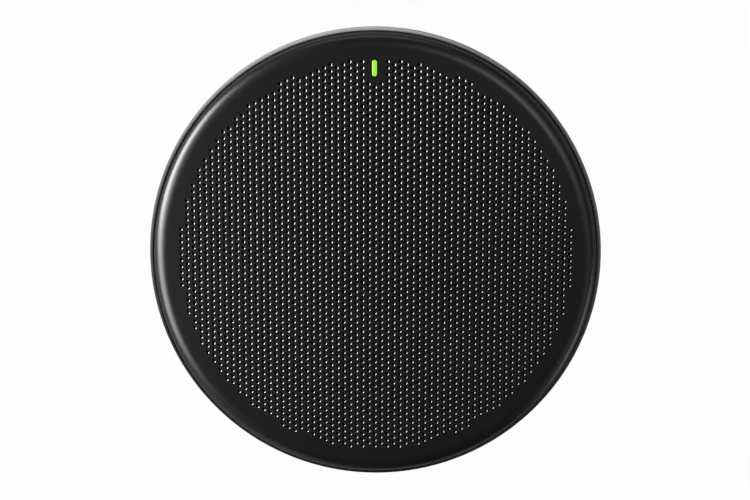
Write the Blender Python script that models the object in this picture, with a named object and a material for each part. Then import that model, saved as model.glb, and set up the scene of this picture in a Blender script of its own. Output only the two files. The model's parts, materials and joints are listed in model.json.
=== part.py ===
# Round conference speakerphone: a perforated metal top, a moulded bowl for a base, one loudspeaker
# in its own chamber, a ring of microphones, a status light and a board with a network socket.
# Axes: +Z up, +Y towards the status light. The origin is under the foot ring, on the axis.
import math

import bmesh
import bpy
from mathutils import Matrix, Vector

MM = 0.001

# Fits
CLEARANCE = 0.3 * MM  # between shells that slide or clip together
SEAT = 0.15 * MM  # between stacked, soldered or bonded faces

# Facets
ROUND_SIDES = 40  # outer shells
RING_SIDES = 32  # rings inside them
MEDIUM_SIDES = 20  # the loudspeaker's pieces
SMALL_SIDES = 8  # pins, posts and holes
SCREW_SIDES = 6
SMOOTH_BELOW = math.radians(35)
WELD = 0.001 * MM

# Outside
LIP_RADIUS = 73.0 * MM  # greatest radius, the bead round the base
LIP_HEIGHT = 1.4 * MM
LIP_OVERHANG = 2.0 * MM  # how far the bead stands out past the top
LIP_STEP = 1.6 * MM  # how far it stands out past the base's wall
REVEAL = 0.4 * MM  # under the top's edge, which stands in a groove behind the bead
WALL = 2.2 * MM
SIDE_CURVE = 15.4 * MM  # how far the wall draws in towards the floor

# Perforated top
SHEET = 0.8 * MM
RIM_WIDTH = 4.4 * MM  # the rim bends over in a quarter of an ellipse
RIM_DROP = 2.9 * MM
SKIRT = 3.1 * MM  # straight wall below the bend
FACE_BORDER = 3.9 * MM  # plain band between the holes and the bend
HOLE_PITCH = 2.0 * MM
HOLE_OPENING = 1.5 * MM
HOLES_PER_OPENING = 4  # one opening of the solid stands for this many pitches each way
OPENING_SIDES = 6

# Status light
LENS_WIDTH = 1.5 * MM
LENS_LENGTH = 5.1 * MM
LENS_GAP = 0.55 * MM  # dark line round the lens
LENS_INSET = 2.75 * MM  # from the edge of the perforated field to the lens's middle
LENS_SHOULDER = 1.0 * MM
LENS_SHOULDER_HEIGHT = 1.2 * MM
LED_SIZE = (2.8 * MM, 3.5 * MM, 0.7 * MM)
CLOTH = 0.4 * MM
CLOTH_MARGIN = 2.0 * MM

# Foot
FOOT_PROUD = 1.5 * MM
FOOT_GROOVE = 1.0 * MM
FOOT_WIDTH = 7.0 * MM
FOOT_MARGIN = 4.5 * MM  # flat floor left outside the foot
FOOT_EDGE = 0.5 * MM

# Baffle and its seat in the base
SPIGOT_HEIGHT = 1.4 * MM
SPIGOT_WALL = 1.4 * MM
LEDGE_DROP = 3.3 * MM
LEDGE_WIDTH = 3.0 * MM
LEDGE_THICKNESS = 2.0 * MM
BAFFLE_THICKNESS = 2.5 * MM
LUG_LENGTH = 4.0 * MM
LUG_WIDTH = 7.0 * MM
LUG_BELOW_SCREW = 2.0 * MM

# Screws
SCREW_SHANK = 1.1 * MM
SCREW_HEAD = 1.9 * MM
SCREW_HEAD_HEIGHT = 1.4 * MM
BAFFLE_SCREW_LENGTH = 9.0 * MM
BOARD_SCREW_LENGTH = 5.5 * MM
DRIVER_SCREW_LENGTH = 4.0 * MM
DRIVER_SCREW_SHANK = 0.9 * MM
DRIVER_SCREW_HEAD = 1.6 * MM

# Microphones
MIC_COUNT = 6
MIC_SIZE = (3.5 * MM, 2.65 * MM, 1.0 * MM)
MIC_BOARD_WIDTH = 6.4 * MM
MIC_BOARD_THICKNESS = 1.0 * MM
SEAL_WIDTH = 5.6 * MM
SEAL_BREAK = 6.0 * MM  # gap in the seal where the status light stands
MIC_SOCKET = (11.0 * MM, 3.0 * MM, 1.5 * MM)

# Loudspeaker
CONE_RADIUS = 18.6 * MM
CONE_DEPTH = 4.0 * MM
CONE_DROP = 1.2 * MM  # from the flange's face down to the cone's edge
CONE_THICKNESS = 0.6 * MM
CONE_TRAVEL = 2.0 * MM  # each way
CONE_GAP = 1.55 * MM  # between the cone's neck and the spider
ROLL_RADIUS = 1.8 * MM
ROLL_THICKNESS = 0.4 * MM
ROLL_LANDING = 1.6 * MM
ROLL_GAP = 0.4 * MM
COIL_RADIUS = 10.3 * MM
COIL_THICKNESS = 0.5 * MM
COIL_GAP = 0.5 * MM  # left over the yoke at full travel
MAGNET_GAP = 0.5 * MM
MAGNET_RADIUS = 18.0 * MM
MAGNET_THICKNESS = 4.0 * MM
MAGNET_STEP = 1.2 * MM  # from the top plate's hole out to the magnet's
TOP_PLATE = 2.5 * MM
YOKE_PLATE = 2.2 * MM
CAP_RISE = 2.2 * MM
CAP_THICKNESS = 0.5 * MM
SPIDER_THICKNESS = 0.4 * MM
SPIDER_WAVES = 2
SPIDER_WAVE_HEIGHT = 0.5 * MM
SPIDER_RISE = 1.2 * MM  # from its outer edge up to the coil
BASKET_WALL = 1.0 * MM
BASKET_WINDOW = 15.0 * MM
FLANGE_THICKNESS = 1.2 * MM
FLANGE_EDGE = 0.2 * MM
GASKET_THICKNESS = 0.8 * MM
GASKET_WIDTH = 1.3 * MM
TERMINAL_SIZE = (1.2 * MM, 7.0 * MM, 3.0 * MM)
CHAMBER_WALL = 1.6 * MM
CHAMBER_CLEARANCE = 0.5 * MM

# Weight under the chamber
BALLAST_THICKNESS = 2.0 * MM
BALLAST_MARGIN = 1.6 * MM  # between the plate and the reset button
BALLAST_GAP = 0.95 * MM

# Board and its pieces
BOARD_THICKNESS = 1.6 * MM
BOARD_MARGIN = 3.5 * MM  # from the board's edge to the base's wall
POST_RADIUS = 3.0 * MM
POST_INSET = 5.5 * MM
NETWORK_SIZE = (16.0 * MM, 21.3 * MM, 13.4 * MM)
NETWORK_HOLE = (11.9 * MM, 13.0 * MM, 8.0 * MM)
NETWORK_TAB = (6.2 * MM, 1.6 * MM)  # notch for the plug's latch
NETWORK_SIDE = 8.5 * MM  # socket's middle from the centre line
USB_SIZE = (8.9 * MM, 7.4 * MM, 3.2 * MM)
USB_WALL = 0.3 * MM
USB_TONGUE = 0.7 * MM
USB_TONGUE_INSET = 1.2 * MM
USB_SIDE = 10.0 * MM
BAY_MARGIN = 2.5 * MM  # beside the outer socket
BAY_HEADROOM = 1.5 * MM
BAY_WALL = 2.0 * MM
PROCESSOR_SIZE = (14.0 * MM, 14.0 * MM, 1.4 * MM)
SHIELD_SIZE = (16.0 * MM, 22.0 * MM, 3.2 * MM)
TRANSFORMER_SIZE = (12.0 * MM, 12.0 * MM, 8.0 * MM)
CAPACITOR_RADIUS = 4.0 * MM
CAPACITOR_HEIGHT = 10.0 * MM
PROCESSOR_TURN = math.radians(172)
SHIELD_TURN = math.radians(-8)
TRANSFORMER_TURN = math.radians(24)
CAPACITOR_TURNS = (math.radians(146), math.radians(128))

# Cables held inside
LEAD_RADIUS = 0.8 * MM
LEAD_TURN = math.radians(207.5)
LEAD_RISE = 3.5 * MM  # above the board
LEAD_BEND = 4.0 * MM
LEAD_SOCKET = (5.0 * MM, 6.0 * MM, 5.0 * MM)
GROMMET_WALL = 1.2 * MM
GROMMET_FLANGE = 0.8 * MM
RIBBON_WIDTH = 8.0 * MM
RIBBON_THICKNESS = 0.3 * MM
RIBBON_STEPS = 8
RIBBON_SOCKET = (11.0 * MM, 4.0 * MM, 2.4 * MM)

# Reset button
RESET_STEM = 0.9 * MM
RESET_COLLAR = 2.0 * MM
RESET_COLLAR_HEIGHT = 0.8 * MM
RESET_RECESS = 0.7 * MM  # how far the button's end lies inside the floor
RESET_TRAVEL = 0.5 * MM
RESET_SWITCH = (6.0 * MM, 6.0 * MM, 3.2 * MM)
RESET_SOCKET_DEPTH = 1.4 * MM

# Heights, from the table up to the perforated face
floor_bottom = FOOT_PROUD
floor_top = floor_bottom + WALL
ballast_bottom = floor_top + SEAT
chamber_bottom = ballast_bottom + BALLAST_THICKNESS + BALLAST_GAP
chamber_floor = chamber_bottom + CHAMBER_WALL
yoke_bottom = chamber_floor + CHAMBER_CLEARANCE
yoke_top = yoke_bottom + YOKE_PLATE
coil_bottom = yoke_top + CONE_TRAVEL + COIL_GAP
magnet_bottom = yoke_top + SEAT
magnet_top = magnet_bottom + MAGNET_THICKNESS
plate_bottom = magnet_top + SEAT
plate_top = plate_bottom + TOP_PLATE
basket_bottom = plate_top + SEAT
spider_bottom = basket_bottom + BASKET_WALL + SEAT
spider_top = spider_bottom + SPIDER_RISE + SPIDER_WAVE_HEIGHT + SPIDER_THICKNESS
cone_bottom = spider_top + CONE_GAP
cone_top = cone_bottom + CONE_DEPTH
flange_top = cone_top + CONE_DROP
flange_bottom = flange_top - FLANGE_THICKNESS
terminal_bottom = flange_bottom - SEAT - TERMINAL_SIZE[2]
gasket_bottom = flange_top + SEAT
gasket_top = gasket_bottom + GASKET_THICKNESS
baffle_bottom = gasket_top + SEAT
baffle_top = baffle_bottom + BAFFLE_THICKNESS
ledge_top = baffle_bottom - SEAT
lip_top = ledge_top + LEDGE_DROP
lip_middle = lip_top - LIP_HEIGHT / 2
lip_bottom = lip_top - LIP_HEIGHT
spigot_top = lip_top + SPIGOT_HEIGHT
cap_edge = lip_middle + REVEAL
bend_height = cap_edge + SKIRT
face_height = bend_height + RIM_DROP
sheet_bottom = face_height - SHEET
cloth_top = sheet_bottom - SEAT
cloth_bottom = cloth_top - CLOTH
mic_board_bottom = baffle_top + SEAT
mic_board_top = mic_board_bottom + MIC_BOARD_THICKNESS
mic_bottom = mic_board_top + SEAT
reset_collar_bottom = floor_top + SEAT
reset_collar_top = reset_collar_bottom + RESET_COLLAR_HEIGHT
switch_bottom = reset_collar_top + RESET_TRAVEL + CLEARANCE
switch_top = switch_bottom + RESET_SWITCH[2]
board_bottom = switch_top + SEAT
board_top = board_bottom + BOARD_THICKNESS
post_top = board_bottom - SEAT
piece_bottom = board_top + SEAT
lead_height = piece_bottom + LEAD_RISE
bay_top = piece_bottom + NETWORK_SIZE[2] + BAY_HEADROOM

# Radii of the shells, from the lip inwards
cap_radius = LIP_RADIUS - LIP_OVERHANG
flat_radius = cap_radius - RIM_WIDTH
field_radius = flat_radius - FACE_BORDER
lens_offset = field_radius - LENS_INSET
wall_radius = LIP_RADIUS - LIP_STEP
floor_radius = wall_radius - SIDE_CURVE
foot_outer = floor_radius - FOOT_MARGIN
foot_inner = foot_outer - FOOT_WIDTH
spigot_radius = cap_radius - SHEET - CLEARANCE
seat_radius = spigot_radius - SPIGOT_WALL
ledge_radius = seat_radius - LEDGE_WIDTH
baffle_radius = seat_radius - CLEARANCE
mic_board_inner = lens_offset - MIC_BOARD_WIDTH / 2
mic_board_outer = lens_offset + MIC_BOARD_WIDTH / 2
baffle_screw_circle = mic_board_outer + CLEARANCE + SCREW_HEAD

# Radii of the loudspeaker, from the cone outwards, and of the board round its chamber
roll_middle = CONE_RADIUS + ROLL_GAP + ROLL_RADIUS
roll_outer = roll_middle + ROLL_RADIUS
surround_outer = roll_outer + ROLL_LANDING
baffle_opening = roll_outer + 2 * CLEARANCE
basket_inner = roll_outer - ROLL_THICKNESS
basket_outer = basket_inner + 2 * BASKET_WALL
gasket_inner = surround_outer + SEAT
gasket_outer = gasket_inner + GASKET_WIDTH
driver_screw_circle = gasket_outer + SEAT + DRIVER_SCREW_HEAD
flange_radius = driver_screw_circle + DRIVER_SCREW_HEAD + FLANGE_EDGE
chamber_inner = flange_radius + CLEARANCE
chamber_outer = chamber_inner + CHAMBER_WALL
terminal_circle = (basket_outer + chamber_inner) / 2
board_inner = chamber_outer + CHAMBER_CLEARANCE
reset_circle = board_inner + CLEARANCE + RESET_SWITCH[1] / 2
ballast_radius = reset_circle - RESET_COLLAR - BALLAST_MARGIN
bay_face = board_inner + NETWORK_SIZE[1]
bay_half_width = NETWORK_SIDE + NETWORK_SIZE[0] / 2 + BAY_MARGIN
shank_hole = SCREW_SHANK + SEAT
lead_bore = LEAD_RADIUS + CLEARANCE
driver_shank_hole = DRIVER_SCREW_SHANK + SEAT
quarter_turns = [math.radians(45 + 90 * n) for n in range(4)]


def hollow_radius(height):
    """Inner radius of the base's curved wall at a height."""
    drop = (lip_bottom - height) / (lip_bottom - floor_top)
    return floor_radius + (SIDE_CURVE - WALL) * math.sqrt(1 - drop * drop)


board_outer = hollow_radius(board_bottom) - BOARD_MARGIN
board_middle = (board_inner + board_outer) / 2
post_circle = board_outer - POST_INSET
ribbon_circle = board_outer - RIBBON_SOCKET[1]


# Helpers


def clear_scene():
    for old in list(bpy.data.objects):
        bpy.data.objects.remove(old)


def finish_of(name, colour, roughness, metallic=0.0):
    made = bpy.data.materials.new(name)
    made.use_nodes = True
    shader = made.node_tree.nodes["Principled BSDF"]
    shader.inputs["Base Color"].default_value = (*colour, 1.0)
    shader.inputs["Roughness"].default_value = roughness
    shader.inputs["Metallic"].default_value = metallic
    return made


def add_object(name, shape, finish=None):
    """A mesh object from a shape. One without a finish is a cutter."""
    bmesh.ops.recalc_face_normals(shape, faces=shape.faces)
    mesh = bpy.data.meshes.new(name)
    shape.to_mesh(mesh)
    shape.free()
    mesh.shade_smooth()
    mesh.set_sharp_from_angle(angle=SMOOTH_BELOW)
    made = bpy.data.objects.new(name, mesh)
    bpy.context.scene.collection.objects.link(made)
    if finish:
        mesh.materials.append(finish)
    else:
        made.hide_render = True
        made.display_type = "WIRE"
    return made


def around(radius, turn, height=0.0):
    return Vector((radius * math.cos(turn), radius * math.sin(turn), height))


def ellipse(middle, across, up, start, end, steps):
    """Points of a curve in a flat plane, from one angle in degrees to another."""
    turns = [math.radians(start + (end - start) * n / steps) for n in range(steps + 1)]
    return [(middle[0] + across * math.cos(t), middle[1] + up * math.sin(t)) for t in turns]


def arc(middle, radius, start, end, steps):
    return ellipse(middle, radius, radius, start, end, steps)


def turned(profile, sides):
    """A closed profile of (radius, height) points, spun about Z."""
    shape = bmesh.new()
    points = [shape.verts.new((r, 0.0, z)) for r, z in profile]
    pairs = zip(points, points[1:] + points[:1])
    edges = [shape.edges.new(pair) for pair in pairs if max(v.co.x for v in pair) > WELD]
    bmesh.ops.spin(
        shape,
        geom=points + edges,
        cent=(0, 0, 0),
        axis=(0, 0, 1),
        angle=math.tau,
        steps=sides,
        use_merge=True,
    )
    bmesh.ops.remove_doubles(shape, verts=shape.verts, dist=WELD)
    return shape


def ring(inner, outer, bottom, top, sides):
    return turned([(inner, bottom), (outer, bottom), (outer, top), (inner, top)], sides)


def slab(outline, bottom, top):
    """A flat outline of (x, y) points, extruded upwards."""
    shape = bmesh.new()
    face = shape.faces.new([shape.verts.new((x, y, bottom)) for x, y in outline])
    raised = bmesh.ops.extrude_face_region(shape, geom=[face])
    moved = [part for part in raised["geom"] if isinstance(part, bmesh.types.BMVert)]
    bmesh.ops.translate(shape, verts=moved, vec=(0, 0, top - bottom))
    return shape


def block(size, middle, turn=0.0):
    shape = bmesh.new()
    place = Matrix.Translation(middle) @ Matrix.Rotation(turn, 4, "Z") @ Matrix.Diagonal((*size, 1.0))
    bmesh.ops.create_cube(shape, size=1.0, matrix=place)
    return shape


def rod(radius, bottom, top, spot=(0.0, 0.0), sides=SMALL_SIDES):
    shape = bmesh.new()
    bmesh.ops.create_cone(
        shape,
        cap_ends=True,
        segments=sides,
        radius1=radius,
        radius2=radius,
        depth=top - bottom,
        matrix=Matrix.Translation((spot[0], spot[1], (bottom + top) / 2)),
    )
    return shape


def pill(width, length, spot=(0.0, 0.0), steps=4):
    """Outline with round ends, its length along Y."""
    half = (length - width) / 2
    upper = arc((spot[0], spot[1] + half), width / 2, 0, 180, steps)
    lower = arc((spot[0], spot[1] - half), width / 2, 180, 360, steps)
    return upper + lower


def lens_pill(margin):
    return pill(LENS_WIDTH + 2 * margin, LENS_LENGTH + 2 * margin, (0.0, lens_offset))


def gathered(shapes):
    """Several separate shapes as one."""
    whole = bmesh.new()
    for shape in shapes:
        bmesh.ops.recalc_face_normals(shape, faces=shape.faces)
        piece = bpy.data.meshes.new("gathered")
        shape.to_mesh(piece)
        shape.free()
        whole.from_mesh(piece)
        bpy.data.meshes.remove(piece)
    return whole


def combine(target, operation, shapes):
    name = f"{target.name}_{operation.lower()}_{len(target.modifiers)}"
    other = add_object(name, gathered(shapes))
    step = target.modifiers.new(name, "BOOLEAN")
    step.operation = operation
    step.object = other
    return other


def cut(target, *shapes):
    return combine(target, "DIFFERENCE", shapes)


def fuse(target, *shapes):
    return combine(target, "UNION", shapes)


def screw(name, finish, spot, seat, length, shank, head, points_up=False):
    """A flat-topped screw whose head lies on seat. Its shank runs down, or up."""
    way = 1.0 if points_up else -1.0
    under = seat - way * SEAT
    head_top = under - way * SCREW_HEAD_HEIGHT
    profile = [
        (0.0, head_top),
        (head, head_top),
        (head, under),
        (shank, under),
        (shank, under + way * length),
        (0.0, under + way * length),
    ]
    shape = turned(profile, SCREW_SIDES)
    bmesh.ops.translate(shape, verts=shape.verts, vec=(spot[0], spot[1], 0.0))
    return add_object(name, shape, finish)


# Outer pieces


def make_top_grille(finish):
    bend = (flat_radius, bend_height)
    profile = [(0.0, face_height)]
    profile += ellipse(bend, RIM_WIDTH, RIM_DROP, 90, 0, 4)
    profile += [(cap_radius, cap_edge), (cap_radius - SHEET, cap_edge)]
    profile += ellipse(bend, RIM_WIDTH - SHEET, RIM_DROP - SHEET, 0, 90, 3)
    profile += [(0.0, sheet_bottom)]
    grille = add_object("top_grille", turned(profile, ROUND_SIDES), finish)
    through = (sheet_bottom - SHEET, face_height + SHEET)
    openings = [rod(opening_radius(), *through, spot, OPENING_SIDES) for spot in opening_spots()]
    cut(grille, slab(lens_pill(LENS_GAP), *through), *openings)


def opening_radius():
    return HOLES_PER_OPENING * HOLE_OPENING / 2


def opening_spots():
    """Columns one pitch apart, every other one half a pitch higher. The light's place stays plain."""
    pitch = HOLES_PER_OPENING * HOLE_PITCH
    reach = field_radius + HOLE_OPENING / 2 - opening_radius()
    web = pitch / 2 - opening_radius()
    bare_width = LENS_WIDTH / 2 + LENS_GAP + web + opening_radius()
    bare_length = LENS_LENGTH / 2 + LENS_GAP + web + opening_radius()
    count = math.ceil(reach / pitch)
    spots = []
    for column in range(-count, count + 1):
        shift = pitch / 2 if column % 2 else 0.0
        for row in range(-count - 1, count + 1):
            x, y = column * pitch, row * pitch + shift
            beside_lens = abs(x) < bare_width and abs(y - lens_offset) < bare_length
            if math.hypot(x, y) <= reach and not beside_lens:
                spots.append((x, y))
    return spots


def make_dust_cloth(finish):
    disc = rod(field_radius + CLOTH_MARGIN, cloth_bottom, cloth_top, sides=ROUND_SIDES)
    cloth = add_object("dust_cloth", disc, finish)
    cut(cloth, slab(lens_pill(LENS_GAP), cloth_bottom - CLOTH, cloth_top + CLOTH))


def make_status_light(lens_finish, led_finish):
    led_top = mic_bottom + LED_SIZE[2]
    led_middle = Vector((0.0, lens_offset, (mic_bottom + led_top) / 2))
    add_object("status_led", block(LED_SIZE, led_middle), led_finish)
    lens = add_object("status_lens", slab(lens_pill(0.0), led_top + SEAT, face_height), lens_finish)
    shoulder_top = cloth_bottom - SEAT
    fuse(lens, slab(lens_pill(LENS_SHOULDER), shoulder_top - LENS_SHOULDER_HEIGHT, shoulder_top))


def make_base_housing(finish):
    housing = add_object("base_housing", turned(base_outline(), ROUND_SIDES), finish)
    hollow = cut(housing, turned(base_hollow(), RING_SIDES))
    cut(hollow, *base_lugs(), *board_posts(), bay_surround())
    cut(housing, bay())
    cut(housing, *base_holes())


def base_outline():
    bead = LIP_HEIGHT / 2
    groove_top = floor_bottom + FOOT_GROOVE
    outline = [(0.0, spigot_top), (spigot_radius, spigot_top), (spigot_radius, lip_middle)]
    outline += arc((LIP_RADIUS - bead, lip_middle), bead, 180, -90, 6)
    outline += ellipse((floor_radius, lip_bottom), SIDE_CURVE, lip_bottom - floor_bottom, 0, -90, 7)
    outline += [
        (foot_outer + CLEARANCE, floor_bottom),
        (foot_outer + CLEARANCE, groove_top),
        (foot_inner - CLEARANCE, groove_top),
        (foot_inner - CLEARANCE, floor_bottom),
        (0.0, floor_bottom),
    ]
    return outline


def base_hollow():
    depth = lip_bottom - floor_top
    ledge_bottom = ledge_top - LEDGE_THICKNESS
    slope_bottom = ledge_bottom - LEDGE_WIDTH
    last_turn = -math.degrees(math.asin((lip_bottom - slope_bottom) / depth))
    hollow = [(0.0, floor_top)]
    hollow += ellipse((floor_radius, lip_bottom), SIDE_CURVE - WALL, depth, -90, last_turn, 5)
    hollow += [
        (ledge_radius, ledge_bottom),
        (ledge_radius, ledge_top),
        (seat_radius, ledge_top),
        (seat_radius, spigot_top + WALL),
        (0.0, spigot_top + WALL),
    ]
    return hollow


def base_lugs():
    """Lumps under the ledge that take the baffle's screws."""
    inner = baffle_screw_circle - LUG_LENGTH
    height = BAFFLE_SCREW_LENGTH - BAFFLE_THICKNESS + LUG_BELOW_SCREW
    size = (LIP_RADIUS - inner, LUG_WIDTH, height)
    middle = (inner + LIP_RADIUS) / 2
    return [block(size, around(middle, turn, ledge_top - height / 2), turn) for turn in quarter_turns]


def board_posts():
    return [rod(POST_RADIUS, floor_bottom, post_top, around(post_circle, turn)) for turn in quarter_turns]


def bay_surround():
    """Walls and roof round the bay where the cables plug in."""
    depth = LIP_RADIUS - bay_face + BAY_WALL
    size = (2 * (bay_half_width + BAY_WALL), 2 * depth, 2 * (bay_top + BAY_WALL))
    return block(size, Vector((0.0, bay_face - BAY_WALL + depth, 0.0)))


def bay():
    depth = LIP_RADIUS - bay_face
    size = (2 * bay_half_width, 2 * depth, 2 * bay_top)
    return block(size, Vector((0.0, bay_face + depth, 0.0)))


def base_holes():
    lug_top = ledge_top + WALL
    lug_bottom = baffle_top - BAFFLE_SCREW_LENGTH
    post_bottom = board_top - BOARD_SCREW_LENGTH
    holes = [socket_window(NETWORK_SIZE, -NETWORK_SIDE), socket_window(USB_SIZE, USB_SIDE)]
    for turn in quarter_turns:
        holes.append(rod(shank_hole, lug_bottom, lug_top, around(baffle_screw_circle, turn)))
        holes.append(rod(shank_hole, post_bottom, board_top, around(post_circle, turn)))
    holes.append(rod(RESET_STEM + CLEARANCE, floor_bottom - WALL, floor_top + WALL, (0.0, -reset_circle)))
    return holes


def socket_window(size, side):
    middle = Vector((side, bay_face - BAY_WALL / 2, piece_bottom + size[2] / 2))
    return block((size[0] + 2 * CLEARANCE, 3 * BAY_WALL, size[2] + 2 * CLEARANCE), middle)


def make_foot_ring(finish):
    top = floor_bottom + FOOT_GROOVE - SEAT
    profile = [
        (foot_inner + FOOT_EDGE, 0.0),
        (foot_outer - FOOT_EDGE, 0.0),
        (foot_outer, FOOT_EDGE),
        (foot_outer, top),
        (foot_inner, top),
        (foot_inner, FOOT_EDGE),
    ]
    add_object("foot_ring", turned(profile, ROUND_SIDES), finish)


def make_baffle(finish):
    disc = ring(baffle_opening, baffle_radius, baffle_bottom, baffle_top, RING_SIDES)
    baffle = add_object("baffle", disc, finish)
    below = baffle_bottom - WALL
    pilot_top = flange_bottom + DRIVER_SCREW_LENGTH
    holes = []
    for turn in quarter_turns:
        holes.append(rod(shank_hole, below, baffle_top + WALL, around(baffle_screw_circle, turn)))
        holes.append(rod(driver_shank_hole, below, pilot_top, around(driver_screw_circle, turn)))
    window = (MIC_SOCKET[0] + 2 * CLEARANCE, MIC_SOCKET[1] + 2 * CLEARANCE, 3 * BAFFLE_THICKNESS)
    holes.append(block(window, Vector((0.0, -lens_offset, baffle_bottom))))
    cut(baffle, *holes)


# Microphone ring


def make_mic_ring(board_finish, mic_finish, seal_finish, socket_finish):
    board = ring(mic_board_inner, mic_board_outer, mic_board_bottom, mic_board_top, RING_SIDES)
    add_object("mic_board", board, board_finish)
    inner = lens_offset - SEAL_WIDTH / 2
    outer = lens_offset + SEAL_WIDTH / 2
    seal_ring = ring(inner, outer, mic_bottom, cloth_bottom - SEAT, RING_SIDES)
    seal = add_object("mic_seal", seal_ring, seal_finish)
    pockets = [block((SEAL_BREAK, 2 * SEAL_WIDTH, 2 * face_height), Vector((0.0, lens_offset, face_height)))]
    for number in range(MIC_COUNT):
        turn = math.tau * number / MIC_COUNT
        middle = around(lens_offset, turn, mic_bottom + MIC_SIZE[2] / 2)
        add_object(f"microphone_{number + 1}", block(MIC_SIZE, middle, turn), mic_finish)
        pocket = (MIC_SIZE[0] + 2 * CLEARANCE, MIC_SIZE[1] + 2 * CLEARANCE, 2 * face_height)
        pockets.append(block(pocket, around(lens_offset, turn, face_height), turn))
    cut(seal, *pockets)
    socket_top = mic_board_bottom - SEAT
    middle = Vector((0.0, -lens_offset, socket_top - MIC_SOCKET[2] / 2))
    add_object("mic_socket", block(MIC_SOCKET, middle), socket_finish)


# Loudspeaker


def make_driver_basket(finish):
    plate_radius = MAGNET_RADIUS + BASKET_WALL
    coil_hole = COIL_RADIUS + MAGNET_GAP + CLEARANCE
    floor = basket_bottom + BASKET_WALL
    profile = [
        (basket_inner, flange_top),
        (flange_radius, flange_top),
        (flange_radius, flange_bottom),
        (basket_outer, flange_bottom),
        (plate_radius, basket_bottom),
        (coil_hole, basket_bottom),
        (coil_hole, floor),
        (plate_radius - BASKET_WALL, floor),
        (basket_inner, flange_bottom),
    ]
    basket = add_object("driver_basket", turned(profile, MEDIUM_SIDES), finish)
    window_bottom = floor + BASKET_WALL
    window_top = flange_bottom - BASKET_WALL
    size = (MAGNET_RADIUS, BASKET_WINDOW, window_top - window_bottom)
    middle = (window_bottom + window_top) / 2
    for turn in (0.0, math.pi / 2, math.pi, 3 * math.pi / 2):
        cut(basket, block(size, around(basket_inner, turn, middle), turn))
    through = (flange_bottom - WALL, flange_top + WALL)
    spots = [around(driver_screw_circle, turn) for turn in quarter_turns]
    cut(basket, *[rod(driver_shank_hole, *through, spot) for spot in spots])


def make_driver_surround(finish):
    low = cone_top + SEAT
    level = flange_top + SEAT
    middle = (roll_middle, level)
    inner = CONE_RADIUS - ROLL_LANDING
    foot_turn = math.degrees(math.asin(ROLL_THICKNESS / ROLL_RADIUS))
    profile = [(inner, low), (roll_middle - ROLL_RADIUS + ROLL_THICKNESS, low)]
    profile += arc(middle, ROLL_RADIUS - ROLL_THICKNESS, 180, 0, 4)
    profile += [(surround_outer, level), (surround_outer, level + ROLL_THICKNESS)]
    profile += arc(middle, ROLL_RADIUS, foot_turn, 180, 4)
    profile += [(roll_middle - ROLL_RADIUS, low + ROLL_THICKNESS), (inner, low + ROLL_THICKNESS)]
    add_object("driver_surround", turned(profile, MEDIUM_SIDES), finish)


def make_driver_cone(cone_finish, coil_finish):
    neck = COIL_RADIUS + SEAT
    neck_top = cone_bottom + CONE_THICKNESS
    profile = [
        (neck, cone_bottom),
        (CONE_RADIUS, cone_top - CONE_THICKNESS),
        (CONE_RADIUS, cone_top),
        (neck, neck_top),
    ]
    add_object("driver_cone", turned(profile, MEDIUM_SIDES), cone_finish)
    foot = (0.0, neck_top + SEAT)
    radius = COIL_RADIUS - SEAT
    dome = ellipse(foot, radius, CAP_RISE, 0, 90, 3)
    dome += ellipse(foot, radius - CAP_THICKNESS, CAP_RISE - CAP_THICKNESS, 90, 0, 3)
    add_object("dust_cap", turned(dome, MEDIUM_SIDES), cone_finish)
    coil_inner = COIL_RADIUS - COIL_THICKNESS
    coil = ring(coil_inner, COIL_RADIUS, coil_bottom, neck_top, MEDIUM_SIDES)
    add_object("voice_coil", coil, coil_finish)


def make_driver_spider(finish):
    inner = COIL_RADIUS + SEAT
    outer = MAGNET_RADIUS - BASKET_WALL
    count = 2 * SPIDER_WAVES
    step = (outer - inner) / (count + 1)
    lower = []
    for n in range(count + 1):
        slope = SPIDER_RISE * (1 - n / count)
        lower.append((inner + n * step, spider_bottom + slope + n % 2 * SPIDER_WAVE_HEIGHT))
    lower.append((outer, spider_bottom))
    upper = [(r, z + SPIDER_THICKNESS) for r, z in reversed(lower)]
    add_object("driver_spider", turned(lower + upper, MEDIUM_SIDES), finish)


def make_magnet_system(steel, ferrite):
    gap_outer = COIL_RADIUS + MAGNET_GAP
    pole = COIL_RADIUS - COIL_THICKNESS - MAGNET_GAP
    inner = gap_outer + MAGNET_STEP
    plate = ring(gap_outer, MAGNET_RADIUS, plate_bottom, plate_top, MEDIUM_SIDES)
    add_object("magnet_top_plate", plate, steel)
    magnet = ring(inner, MAGNET_RADIUS, magnet_bottom, magnet_top, MEDIUM_SIDES)
    add_object("driver_magnet", magnet, ferrite)
    yoke = [
        (0.0, yoke_bottom),
        (MAGNET_RADIUS, yoke_bottom),
        (MAGNET_RADIUS, yoke_top),
        (pole, yoke_top),
        (pole, plate_top),
        (0.0, plate_top),
    ]
    add_object("pole_yoke", turned(yoke, MEDIUM_SIDES), steel)


def make_driver_seals(foam, terminal_finish):
    gasket = ring(gasket_inner, gasket_outer, gasket_bottom, gasket_top, MEDIUM_SIDES)
    add_object("driver_gasket", gasket, foam)
    middle = around(terminal_circle, LEAD_TURN, terminal_bottom + TERMINAL_SIZE[2] / 2)
    add_object("driver_terminal", block(TERMINAL_SIZE, middle, LEAD_TURN), terminal_finish)


def make_speaker_chamber(finish):
    rim = baffle_bottom - SEAT
    profile = [
        (0.0, chamber_bottom),
        (chamber_outer, chamber_bottom),
        (chamber_outer, rim),
        (chamber_inner, rim),
        (chamber_inner, chamber_floor),
        (0.0, chamber_floor),
    ]
    chamber = add_object("speaker_chamber", turned(profile, MEDIUM_SIDES), finish)
    hole = rod(lead_bore + GROMMET_WALL + SEAT, -CHAMBER_WALL, 2 * CHAMBER_WALL)
    cut(chamber, along_lead(hole))


# Board and its pieces


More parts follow.
